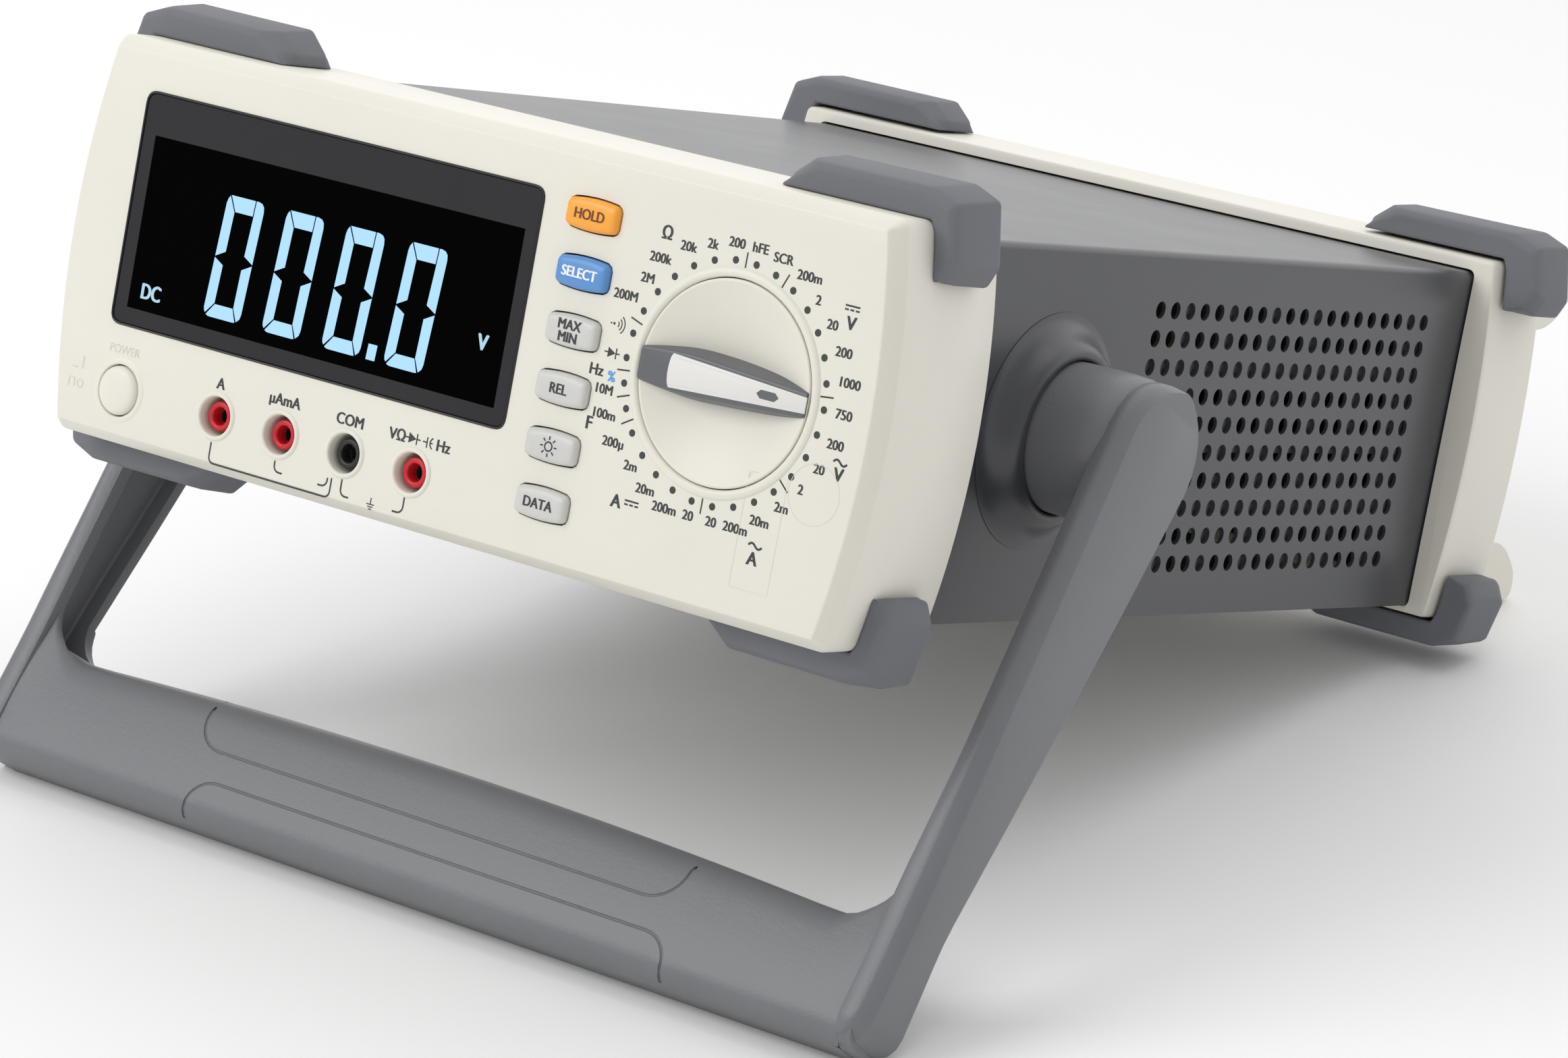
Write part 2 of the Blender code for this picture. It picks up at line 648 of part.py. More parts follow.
def arm_outline():
    """The arm's side view as (forward, down) from the pivot: a round end that tapers towards the bar."""
    points = []
    for i in range(13):
        angle = math.radians(-5 + 190 * i / 12)
        points.append((ARM_END_RADIUS * math.cos(angle), -ARM_END_RADIUS * math.sin(angle)))
    end = BAR_TOP - GAP
    rear = [(-14.8, 32.5), (-11.0, 75.0), (-6.5, end)]
    front = [(10.2, end), (12.3, 75.0), (14.6, 35.0)]
    return points + rear + front


def bar_outline(steps=3):
    """Section of the bar: a deep blade with round edges, slimmer at the top."""
    low_round, top_round = BAR_ROUND, 5.5
    corners = (
        (BAR_FRONT - low_round, BAR_BOTTOM - low_round, low_round, 0),
        (BAR_REAR + low_round, BAR_BOTTOM - low_round, low_round, 90),
        (BAR_REAR + 1.5 + top_round, BAR_TOP + top_round, top_round, 180),
        (BAR_FRONT - 1.0 - top_round, BAR_TOP + top_round, top_round, 270),
    )
    points = []
    for forward, down, radius, start in corners:
        for i in range(steps + 1):
            angle = math.radians(start + 90 * i / steps)
            points.append((forward + radius * math.cos(angle), down + radius * math.sin(angle)))
    return points


def in_handle(outline):
    """(forward, down) points as (y, z) in the handle's frame."""
    return [(-forward, -down) for forward, down in outline]


def handle(housing):
    pivot = empty("handle_pivot", housing, (0, PIVOT_Y, PIVOT_Z), -HANDLE_LEAN)
    for side, sign in (("left", -1), ("right", 1)):
        outline = in_handle(arm_outline())
        faces = [along_x(outline, sign * x) for x in (ARM_INSIDE, ARM_OUTSIDE)]
        arm = loft(f"handle_arm_{side}", faces)
        hub_start = CHASSIS_HALF + COLLAR_HEIGHT + 2 * GAP
        hub = [(0, hub_start), (HUB_RADIUS, hub_start), (HUB_RADIUS - 1.4, ARM_INSIDE + 1), (0, ARM_INSIDE + 1)]
        bore = BOLT_RADIUS + GAP
        hole = [(0, hub_start - 2), (bore, hub_start - 2), (bore, hub_start + 9), (0, hub_start + 9)]
        hub, hole = ([(r, sign * d) for r, d in points] for points in (hub, hole))
        join(arm, turned("hub", hub, (0, 0, 0), "X", 32))
        cut(arm, turned("hub_bore", hole, (0, 0, 0), "X", 20))
        fit(arm, "grey_plastic", pivot)

        head, tip = CHASSIS_HALF - SHEET - GAP, hub_start + 8
        bolt = [(0, head - 4), (8.0, head - 4), (8.0, head), (BOLT_RADIUS, head), (BOLT_RADIUS, tip), (0, tip)]
        bolt = [(r, sign * d) for r, d in bolt]
        fit(turned(f"pivot_bolt_{side}", bolt, (0, 0, 0), "X", 20), "plain_steel", pivot)

        foot = CHASSIS_HALF + GAP
        collar = [
            (bore, foot), (COLLAR_RADIUS + 4, foot), (COLLAR_RADIUS + 1.5, foot + 1.5),
            (COLLAR_RADIUS, foot + 4), (COLLAR_RADIUS - 1, foot + COLLAR_HEIGHT - GAP), (bore, foot + COLLAR_HEIGHT - GAP),
        ]  # fmt: skip
        collar = [(r, sign * d) for r, d in collar]
        ring = turned(f"pivot_collar_{side}", collar, (0, PIVOT_Y, PIVOT_Z), "X", 32, ring=True)
        fit(ring, "dark_sheet", housing)

    section = in_handle(bar_outline())
    bar = loft("handle_bar", [along_x(section, x) for x in (-ARM_OUTSIDE, -60, 60, ARM_OUTSIDE)])
    fit(bar, "grey_plastic", pivot)


# Assembly


def floor_tilt():
    """Tilt of the housing at which its handle's bar and the tips of its lower cord posts stand on one floor."""
    forward, down = BAR_REAR + BAR_ROUND, BAR_BOTTOM - BAR_ROUND
    sin_lean, cos_lean = math.sin(HANDLE_LEAN), math.cos(HANDLE_LEAN)
    bar_y = PIVOT_Y - (down * sin_lean + forward * cos_lean)
    bar_z = PIVOT_Z - (down * cos_lean - forward * sin_lean)
    run, rise = REAR_END + POST_LENGTH - bar_y, POST_LOW - bar_z
    return math.atan2(rise, run) + math.asin(BAR_ROUND / math.hypot(run, rise))


def set_down(housing):
    """Moves the assembly so that it stands on z = 0 with its bounding box centred on the origin."""
    bpy.context.view_layer.update()
    points = [
        obj.matrix_world @ vert.co for obj in bpy.data.objects if obj.type == "MESH" for vert in obj.data.vertices
    ]
    low = Vector(min(point[i] for point in points) for i in range(3))
    high = Vector(max(point[i] for point in points) for i in range(3))
    housing.location = (-(low.x + high.x) / 2, -(low.y + high.y) / 2, -low.z)


def main():
    for obj in list(bpy.data.objects):
        bpy.data.objects.remove(obj)
    housing = empty("housing", turn_x=-floor_tilt())
    front_bezel(housing)
    display(housing)
    front_board(housing)
    jacks(housing)
    keys(housing)
    power_button(housing)
    range_knob(housing)
    top_cover(housing)
    base_tray(housing)
    side_baffles(housing)
    transformer(housing)
    ribbon_cable(housing)
    rear_bezel(housing)
    rear_panel(housing)
    rear_screws(housing)
    bumpers(housing)
    handle(housing)
    set_down(housing)


main()
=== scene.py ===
"""Looks of the bench multimeter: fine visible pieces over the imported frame, finishes, studio and camera.

Lengths here are millimetres in the housing's own frame: X across, Y from the front face to the back, Z up,
origin at the middle of the front face's lower edge. HOUSING turns them into the tilted place in metres.
"""

import json
import math

import bmesh
import bpy
from mathutils import Matrix, Vector


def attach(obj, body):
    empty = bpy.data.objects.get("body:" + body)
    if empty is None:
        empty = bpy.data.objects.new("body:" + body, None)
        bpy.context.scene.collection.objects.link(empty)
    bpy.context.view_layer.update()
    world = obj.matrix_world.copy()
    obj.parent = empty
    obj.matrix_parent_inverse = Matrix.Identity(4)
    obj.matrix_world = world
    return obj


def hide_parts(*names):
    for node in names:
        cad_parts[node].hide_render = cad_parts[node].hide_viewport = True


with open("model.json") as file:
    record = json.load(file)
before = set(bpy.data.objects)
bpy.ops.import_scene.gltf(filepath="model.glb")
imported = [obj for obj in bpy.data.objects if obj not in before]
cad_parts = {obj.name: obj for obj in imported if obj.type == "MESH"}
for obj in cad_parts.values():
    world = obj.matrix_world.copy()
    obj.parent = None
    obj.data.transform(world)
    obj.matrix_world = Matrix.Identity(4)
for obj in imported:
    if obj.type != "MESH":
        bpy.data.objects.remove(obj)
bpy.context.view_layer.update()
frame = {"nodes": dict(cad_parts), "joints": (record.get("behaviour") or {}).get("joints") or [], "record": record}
joints = {joint["name"]: joint for joint in frame["joints"]}

PIVOT_Y, PIVOT_Z = 89.2, 46.9
LEAN = math.radians(28.0)
PRESS = Vector(joints["power_press"]["axis"])
TURN = Matrix.Rotation(math.atan2(PRESS.z, PRESS.y), 4, "X")
PIVOT_WORLD = Vector(joints["handle_swing"]["pos_m"])
HOUSING = (
    Matrix.Translation(PIVOT_WORLD - TURN @ Vector((0, PIVOT_Y / 1000, PIVOT_Z / 1000)))
    @ TURN
    @ Matrix.Scale(0.001, 4)
)

# The case. A half is half a width at the corners, and a bow is how far the side bulges at mid height.
HEIGHT = 94.0
FRONT_HALF, FRONT_BOW, FRONT_DEPTH = 112.0, 5.2, 39.0
REAR_HALF, REAR_BOW, REAR_START, REAR_END = 108.5, 3.2, 277.6, 306.0
CHASSIS_HALF, CHASSIS_LOW, CHASSIS_TOP, SHEET = 102.2, 3.0, 89.4, 1.0
VENT_ROWS, VENT_COLUMNS, VENT_PITCH, VENT_RADIUS = 10, 20, 6.71, 2.05
VENT_FIRST_Y, VENT_TOP_Z = 129.3, 75.8

# The front panel.
WINDOW, DISPLAY_FIELD = (-98.6, 19.9, 27.9, 82.8), (-94.2, 15.9, 32.4, 72.7)
DIAL_X, DIAL_Z, DIAL_RADIUS = 75.7, 50.9, 22.6
DIAL_POSITIONS, DIAL_STEP = 30, 12
KEY_X, KEY_TOP_Z, KEY_PITCH = 34.0, 79.2, 12.86
POWER_X, POWER_Z, POWER_HOLE = -92.4, 12.9, 6.2
JACK_LEFT_X, JACK_Z, JACK_PITCH, JACK_HOLE = -62.2, 13.4, 19.5, 4.95
KEY_NAMES = ("hold_key", "select_key", "extremes_key", "relative_key", "backlight_key", "data_key")
JACK_NAMES = ("amps", "milliamps", "common", "volts")
PANEL_SKIN = 4
TEXT, SMALL_TEXT, SIGN_TEXT = 2.6, 2.15, 2.9
LINE, FINE_LINE = 0.42, 0.32

# The planes, along Y, that carry the lit marks, the words on the keys and the marks on the pointer.
LIT_PLANE, KEY_PLANE, POINTER_PLANE = 0.02, -1.87, -1.22

# The handle. Its distances run from the pivot along the arms, and f runs towards the handle's front.
ARM_IN, ARM_OUT, ARM_END_RADIUS = 125.0, 132.8, 17.0
BAR_TOP, BAR_BOTTOM = 117.6, 150.0
ARM_FRONT = [(0, 17.0), (35, 14.6), (75, 12.3), (105, 10.8), (120, 10.0), (150, 9.5)]
ARM_REAR = [
    (0, -17.0), (32, -14.8), (75, -11.0), (105, -7.9), (118, -6.7), (130, -7.4), (142, -8.2), (150, -8.6),
]  # fmt: skip
FOOT_START, FOOT_END, FOOT_RADIUS, FOOT_LEAST_X = 141, 149.9, 9, 126.5
FILLET_START, FILLET_RADIUS, FILLET_CENTRE = 113, 12, 108.6
FLANGE = 3.3


# Finishes


def finish(
    name, colour, roughness, grain=0.0, grain_size=0.5, coat=0.0, metallic=0.0, specular=0.5, mottle=0.03
):  # fmt: skip
    """Moulded, painted or printed surface: slight variation of colour and gloss, and a fine grain."""
    made = bpy.data.materials.new(name)
    made.use_nodes = True
    nodes, links = made.node_tree.nodes, made.node_tree.links
    shader = nodes["Principled BSDF"]
    shader.inputs["Metallic"].default_value = metallic
    shader.inputs["Specular IOR Level"].default_value = specular
    shader.inputs["Coat Weight"].default_value = coat
    shader.inputs["Coat Roughness"].default_value = 0.08
    place = nodes.new("ShaderNodeTexCoord")
    blotch = nodes.new("ShaderNodeTexNoise")
    blotch.inputs["Scale"].default_value = 38.0
    blotch.inputs["Detail"].default_value = 4.0
    links.new(place.outputs["Object"], blotch.inputs["Vector"])
    ramp = nodes.new("ShaderNodeValToRGB")
    ramp.color_ramp.elements[0].position, ramp.color_ramp.elements[1].position = 0.3, 0.7
    ramp.color_ramp.elements[0].color = (*(c * (1 - mottle) for c in colour), 1)
    ramp.color_ramp.elements[1].color = (*(min(c * (1 + mottle), 1) for c in colour), 1)
    links.new(blotch.outputs["Fac"], ramp.inputs["Fac"])
    links.new(ramp.outputs["Color"], shader.inputs["Base Color"])
    sheen = nodes.new("ShaderNodeMapRange")
    sheen.inputs["To Min"].default_value = roughness - 0.04
    sheen.inputs["To Max"].default_value = roughness + 0.04
    links.new(blotch.outputs["Fac"], sheen.inputs["Value"])
    links.new(sheen.outputs["Result"], shader.inputs["Roughness"])
    if grain:
        speck = nodes.new("ShaderNodeTexNoise")
        speck.inputs["Scale"].default_value = 1000.0 / grain_size
        speck.inputs["Detail"].default_value = 3.0
        links.new(place.outputs["Object"], speck.inputs["Vector"])
        bump = nodes.new("ShaderNodeBump")
        bump.inputs["Strength"].default_value = grain
        bump.inputs["Distance"].default_value = 0.0002
        links.new(speck.outputs["Fac"], bump.inputs["Height"])
        links.new(bump.outputs["Normal"], shader.inputs["Normal"])
    return made


def glow(name, colour, strength):
    """A lit mark of the display."""
    made = finish(name, tuple(c * 0.2 for c in colour), 0.3, mottle=0.0)
    shader = made.node_tree.nodes["Principled BSDF"]
    shader.inputs["Emission Color"].default_value = (*colour, 1)
    shader.inputs["Emission Strength"].default_value = strength
    return made


CREAM = finish("cream_moulding", (0.77, 0.745, 0.665), 0.42, 0.10, 0.6, mottle=0.012)
SHEET_PAINT = finish("dark_powder_coat", (0.050, 0.052, 0.060), 0.33, 0.10, 0.5, specular=0.66)
RUBBER = finish("grey_bumper_rubber", (0.168, 0.174, 0.192), 0.66, 0.10, 0.5, specular=0.22)
HANDLE_GREY = finish("grey_handle_moulding", (0.168, 0.172, 0.184), 0.42, 0.34, 0.8)
PANE = finish("window_border", (0.017, 0.0155, 0.0185), 0.30, 0.03, 1.0, coat=0.06, specular=0.35)
LCD_BLACK = finish("display_black", (0.0006, 0.0006, 0.0007), 0.5, specular=0.01, mottle=0.0)
DIGIT = glow("lit_segment", (0.39, 0.66, 0.90), 0.93)
LCD_WORD = glow("lit_word", (0.42, 0.64, 0.78), 0.85)
RED = finish("red_socket", (0.56, 0.012, 0.022), 0.34, 0.05, 0.5)
BLACK = finish("black_moulding", (0.014, 0.014, 0.015), 0.4, 0.08, 0.5)
INK = finish("dark_legend_ink", (0.040, 0.041, 0.044), 0.55)
INK_BLUE = finish("blue_legend_ink", (0.09, 0.33, 0.70), 0.55)
INK_BROWN = finish("brown_legend_ink", (0.16, 0.045, 0.008), 0.55)
# A little darker than the cream: painted shade that stands in for the shading of the raised marks, which are the
# same moulding.
MARKS_PAINTED_SHADE = finish("raised_mark_painted_shade", (0.68, 0.655, 0.58), 0.42, 0.05, 0.6)
INK_WHITE = finish("white_legend_ink", (0.86, 0.87, 0.88), 0.5)
KEY_ORANGE = finish("orange_key_cap", (0.93, 0.385, 0.045), 0.38, 0.05, 0.5)
KEY_BLUE = finish("blue_key_cap", (0.105, 0.285, 0.62), 0.38, 0.05, 0.5)
KEY_GREY = finish("grey_key_cap", (0.61, 0.605, 0.58), 0.40, 0.05, 0.5)
WHITE = finish("white_inlay", (0.76, 0.75, 0.72), 0.42, 0.05, 0.5)
GRIP_GREY = finish("knob_grip_grey", (0.115, 0.12, 0.132), 0.40, 0.12, 0.5)
STEEL = finish("plated_steel", (0.58, 0.58, 0.57), 0.34, 0.10, 1.5, metallic=1.0)
COPPER = finish("lacquered_copper", (0.72, 0.30, 0.12), 0.32, 0.2, 1.2, metallic=1.0)
BOARD = finish("green_board", (0.02, 0.13, 0.05), 0.4, 0.1, 2.0)
SILICONE = finish("grey_silicone", (0.60, 0.60, 0.58), 0.6, 0.1, 0.5)
BY_SLOT = {
    "cream_plastic": CREAM, "dark_sheet": SHEET_PAINT, "plain_steel": STEEL, "grey_rubber": RUBBER,
    "grey_plastic": HANDLE_GREY, "window_black": PANE, "lcd_glass": LCD_BLACK, "board_green": BOARD,
    "red_plastic": RED, "black_plastic": BLACK, "copper": COPPER, "silicone": SILICONE,
    "orange_key": KEY_ORANGE, "blue_key": KEY_BLUE, "grey_key": KEY_GREY, "white_plastic": WHITE,
}  # fmt: skip
for entry in frame["record"]["subparts"]:
    node = frame["nodes"][entry["node"]]
    node.data.materials.clear()
    node.data.materials.append(BY_SLOT[entry["material_slot"]])


# Building blocks


def piece(bm, name, material, body="housing", sharp=32, replaces=()):
    """Turns a bmesh in housing millimetres into a finished object on its body."""
    bmesh.ops.remove_doubles(bm, verts=bm.verts, dist=0.0005)
    bmesh.ops.recalc_face_normals(bm, faces=bm.faces)
    bmesh.ops.transform(bm, matrix=HOUSING, verts=bm.verts)
    mesh = bpy.data.meshes.new(name)
    bm.to_mesh(mesh)
    bm.free()
    mesh.materials.append(material)
    mesh.shade_smooth()
    mesh.set_sharp_from_angle(angle=math.radians(sharp))
    made = bpy.data.objects.new(name, mesh)
    bpy.context.scene.collection.objects.link(made)
    if replaces:
        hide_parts(*replaces)
    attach(made, body)
    return made


def loft(rings, closed=False):
    """Skin through rings of points with equal counts, capped unless the rings close on themselves."""
    bm = bmesh.new()
    loops = [[bm.verts.new(point) for point in ring] for ring in rings]
    pairs = list(zip(loops, loops[1:]))
    if closed:
        pairs.append((loops[-1], loops[0]))
    count = len(loops[0])
    for first, second in pairs:
        for i in range(count):
            j = (i + 1) % count
            bm.faces.new((first[i], first[j], second[j], second[i]))
    if not closed:
        bm.faces.new(loops[0][::-1])
        bm.faces.new(loops[-1])
    bmesh.ops.recalc_face_normals(bm, faces=bm.faces)
    return bm


def turned(profile, centre, axis="Y", segments=64, ring=False):
    """Spins (radius, distance) points about an axis. A ring's profile closes on itself, others are capped."""
    rings = []
    for radius, distance in profile:
        loop = []
        for i in range(segments):
            angle = math.tau * i / segments
            u, v = max(radius, 0.001) * math.cos(angle), max(radius, 0.001) * math.sin(angle)
            spot = (u, distance, v) if axis == "Y" else (distance, u, v)
            loop.append(Vector(centre) + Vector(spot))
        rings.append(loop)
    return loft(rings, closed=ring)


def at_y(outline, y):
    return [(x, y, z) for x, z in outline]


def merged(*meshes):
    """One bmesh that holds several."""
    total = bmesh.new()
    for bm in meshes:
        carried = bpy.data.meshes.new("carried")
        bm.to_mesh(carried)
        bm.free()
        total.from_mesh(carried)
        bpy.data.meshes.remove(carried)
    return total


def combined(base, other, operation="DIFFERENCE", solver="EXACT"):
    """Boolean of two bmeshes."""
    made = []
    for label, bm in (("base", base), ("other", other)):
        mesh = bpy.data.meshes.new(label)
        bm.to_mesh(mesh)
        bm.free()
        made.append(bpy.data.objects.new(label, mesh))
        bpy.context.scene.collection.objects.link(made[-1])
    modifier = made[0].modifiers.new("combine", "BOOLEAN")
    modifier.operation = operation
    modifier.solver = solver
    modifier.object = made[1]
    result = bpy.data.meshes.new_from_object(made[0].evaluated_get(bpy.context.evaluated_depsgraph_get()))
    out = bmesh.new()
    out.from_mesh(result)
    for obj in made:
        bpy.data.objects.remove(obj)
    bpy.data.meshes.remove(result)
    bmesh.ops.remove_doubles(out, verts=out.verts, dist=0.0005)
    bmesh.ops.dissolve_degenerate(out, edges=out.edges, dist=0.0005)
    return out


def rounded(corners, radii, steps=5):
    """2-D outline with each corner rounded by its own radius."""
    points = []
    count = len(corners)
    for i, corner in enumerate(corners):
        here = Vector(corner)
        before, after = Vector(corners[i - 1]) - here, Vector(corners[(i + 1) % count]) - here
        radius = radii if isinstance(radii, (int, float)) else radii[i]
        reach = min(radius, before.length * 0.49, after.length * 0.49)
        start, end = here + before.normalized() * reach, here + after.normalized() * reach
        for k in range(steps + 1):
            t = k / steps
            points.append(tuple(start * (1 - t) ** 2 + here * (2 * t * (1 - t)) + end * t**2))
    return points


def rectangle(x0, x1, z0, z1, radius=0.0, steps=5):
    corners = [(x0, z0), (x1, z0), (x1, z1), (x0, z1)]
    return rounded(corners, radius, steps) if radius else corners


def arc(x, z, radius, start, end, steps=10):
    angles = [math.radians(start + (end - start) * i / steps) for i in range(steps + 1)]
    return [(x + radius * math.cos(angle), z + radius * math.sin(angle)) for angle in angles]


def circle(x, z, radius, segments):
    return arc(x, z, radius, 0, 360, segments)[:-1]


def spline(points, at):
    """Smooth value through (position, value) points."""
    if at <= points[0][0]:
        return points[0][1]
    for i in range(len(points) - 1):
        (a, va), (b, vb) = points[i], points[i + 1]
        if at <= b:
            before = points[i - 1] if i else (a - (b - a), va - (vb - va))
            after = points[i + 2] if i + 2 < len(points) else (b + (b - a), vb + (vb - va))
            t = (at - a) / (b - a)
            ma = (vb - before[1]) / (b - before[0]) * (b - a)
            mb = (after[1] - va) / (after[0] - a) * (b - a)
            return (
                va * (2 * t**3 - 3 * t**2 + 1) + ma * (t**3 - 2 * t**2 + t) + vb * (3 * t**2 - 2 * t**3)
                + mb * (t**3 - t**2)
            )  # fmt: skip
    return points[-1][1]


# Outlines


def bowed_x(z, half, bow):
    middle = HEIGHT / 2
    return half + bow * (1 - ((z - middle) / middle) ** 2)


def bezel_outline(half, bow, inset=0.0, corner=2.2, steps=22):
    """Outline with bulging sides and small round corners, the same count of points at any inset."""
    low, high = inset, HEIGHT - inset
    radius = max(corner - inset * 0.8, 0.5)
    quarter = [math.radians(15 * i) for i in range(7)]
    right = []
    for angle in quarter:
        z = low + radius * (1 - math.cos(angle))
        right.append((bowed_x(z, half, bow) - inset - radius * (1 - math.sin(angle)), z))
    for i in range(1, steps):
        z = low + radius + (high - low - 2 * radius) * i / steps
        right.append((bowed_x(z, half, bow) - inset, z))
    for angle in reversed(quarter):
        z = high - radius * (1 - math.cos(angle))
        right.append((bowed_x(z, half, bow) - inset - radius * (1 - math.sin(angle)), z))
    return right + [(-x, z) for x, z in reversed(right)]


def key_outline(grow=0.0, steps=10):
    """Barrel shape: straight short sides with round corners, and a top and bottom that bulge."""
    half_x, half_z, bulge, corner = 7.1 + grow, 2.95 + grow, 0.65, max(1.1 + grow, 0.35)
    upper = [(half_x, half_z - corner), (half_x - corner * 0.29, half_z - corner * 0.29)]
    for i in range(steps + 1):
        x = (half_x - corner) * (1 - 2 * i / steps)
        upper.append((x, half_z + bulge * (1 - (x / half_x) ** 2)))
    upper += [(-half_x + corner * 0.29, half_z - corner * 0.29), (-half_x, half_z - corner)]
    return upper + [(-x, -z) for x, z in upper]


def shifted(outline, x, z):
    return [(px + x, pz + z) for px, pz in outline]


jack_places = [JACK_LEFT_X + JACK_PITCH * i for i in range(4)]
key_places = [(name, KEY_TOP_Z - KEY_PITCH * i) for i, name in enumerate(KEY_NAMES)]


# Front moulding


def front_shell():
    """Chamfered hollow frame with the openings of the window, dial, power button, sockets and keys."""
    edge = ((3.15, 0.0), (2.85, 0.05), (2.62, 0.25), (0.35, 3.35), (0.1, 3.8), (0.0, 4.4))
    rings = [at_y(bezel_outline(FRONT_HALF, FRONT_BOW, inset), y) for inset, y in edge]
    rings += [at_y(bezel_outline(FRONT_HALF, FRONT_BOW), y) for y in (20.0, FRONT_DEPTH - 0.7)]
    rings.append(at_y(bezel_outline(FRONT_HALF, FRONT_BOW, 0.5), FRONT_DEPTH))
    shell = loft(rings)
    inner = bezel_outline(FRONT_HALF, FRONT_BOW, 3.0)
    shell = combined(shell, loft([at_y(inner, 3.0), at_y(inner, FRONT_DEPTH - 3.0)]))
    hole = rectangle(-CHASSIS_HALF - 0.45, CHASSIS_HALF + 0.45, CHASSIS_LOW - 0.45, CHASSIS_TOP + 0.45, 1.6)
    shell = combined(shell, loft([at_y(hole, FRONT_DEPTH - 4), at_y(hole, FRONT_DEPTH + 1)]))
    window = rectangle(*WINDOW, 3.2)
    rounds = [(DIAL_X, DIAL_Z, DIAL_RADIUS + 0.3, 64), (POWER_X, POWER_Z, POWER_HOLE, 48)]
    rounds += [(x, JACK_Z, JACK_HOLE, 48) for x in jack_places]
    holes = [loft([at_y(window, -1), at_y(window, PANEL_SKIN)])]
    for x, z, radius, segments in rounds:
        drill = [(0, -1), (radius, -1), (radius, PANEL_SKIN), (0, PANEL_SKIN)]
        holes.append(turned(drill, (x, 0, z), segments=segments))
    for _, z in key_places:
        slot = shifted(key_outline(0.35), KEY_X, z)
        holes.append(loft([at_y(slot, -1), at_y(slot, PANEL_SKIN)]))
    shell = combined(shell, merged(*holes))
    piece(shell, "front_shell", CREAM, sharp=38, replaces=("front_bezel",))


def raised_rings():
    """Rings round the dial, power button and sockets, the socket tubes and the power button's cap."""
    hole = DIAL_RADIUS + 0.25
    dial = [
        (hole, 3.0), (hole, 0.1), (DIAL_RADIUS + 0.45, -0.3), (DIAL_RADIUS + 0.8, -0.62), (24.1, -0.6),
        (24.6, -0.42), (25.1, -0.06), (25.3, 0.4), (25.3, 3.0),
    ]  # fmt: skip
    piece(turned(dial, (DIAL_X, 0, DIAL_Z), segments=128, ring=True), "dial_surround", CREAM, sharp=45)
    power = [
        (6.1, 3.0), (6.1, 0.0), (6.25, -0.22), (6.8, -0.3), (7.3, -0.2), (7.75, 0.03), (7.9, 0.5), (7.9, 3.0),
    ]  # fmt: skip
    piece(turned(power, (POWER_X, 0, POWER_Z), ring=True), "power_surround", CREAM, sharp=45)
    for name, x in zip(JACK_NAMES, jack_places):
        well = [
            (4.5, 10.2), (4.5, 0.2), (4.6, -0.25), (4.85, -0.5), (5.25, -0.52), (5.55, -0.3), (5.85, 0.05),
            (6.0, 0.5), (5.4, 2.8), (5.4, 10.2),
        ]  # fmt: skip
        piece(turned(well, (x, 0, JACK_Z), ring=True), f"well_{name}", CREAM, sharp=45)
        tube = [
            (3.45, 10.4), (3.45, 1.75), (3.3, 1.35), (3.0, 1.2), (2.5, 1.2), (2.2, 1.35), (2.05, 1.75),
            (2.0, 6.5), (2.55, 6.6), (2.55, 12.0), (5.3, 12.0), (5.3, 10.4),
        ]  # fmt: skip
        black = name == "common"
        piece(
            turned(tube, (x, 0, JACK_Z), segments=48, ring=True), f"socket_{name}", BLACK if black else RED,
            sharp=45, replaces=(f"jack_{name}",),
        )  # fmt: skip
    cap = [
        (0, -1.45), (1.5, -1.43), (3.0, -1.36), (4.2, -1.22), (5.0, -0.98), (5.45, -0.62), (5.7, -0.1),
        (5.8, 0.6), (5.8, 8.5), (2.2, 8.5), (2.2, 14.0), (0, 14.0),
    ]  # fmt: skip
    piece(
        turned(cap, (POWER_X, 0, POWER_Z)), "power_cap", CREAM, "power_button", sharp=45,
        replaces=("power_button",),
    )  # fmt: skip


def display():
    """The window's lip and pane, and the black field that the digits stand on."""

    def inside(gap, corner):
        left, right, low, high = WINDOW
        return rectangle(left + gap, right - gap, low + gap, high - gap, corner)

    steps = ((0.0, 3.2, 3.0), (0.0, 3.2, -0.1), (0.2, 3.0, -0.3), (0.5, 2.7, -0.12), (0.5, 2.7, 3.0))
    lip = loft([at_y(inside(gap, corner), y) for gap, corner, y in steps], closed=True)
    piece(lip, "window_lip", BLACK, sharp=45)
    steps = ((0.75, 2.5, 0.05), (0.55, 2.7, 0.22), (0.55, 2.7, 2.6))
    pane = loft([at_y(inside(gap, corner), y) for gap, corner, y in steps])
    piece(pane, "window_pane", PANE, replaces=("display_window",))
    field = [at_y(rectangle(*DISPLAY_FIELD), y) for y in (0.02, 0.12)]
    piece(loft(field), "display_field", LCD_BLACK)


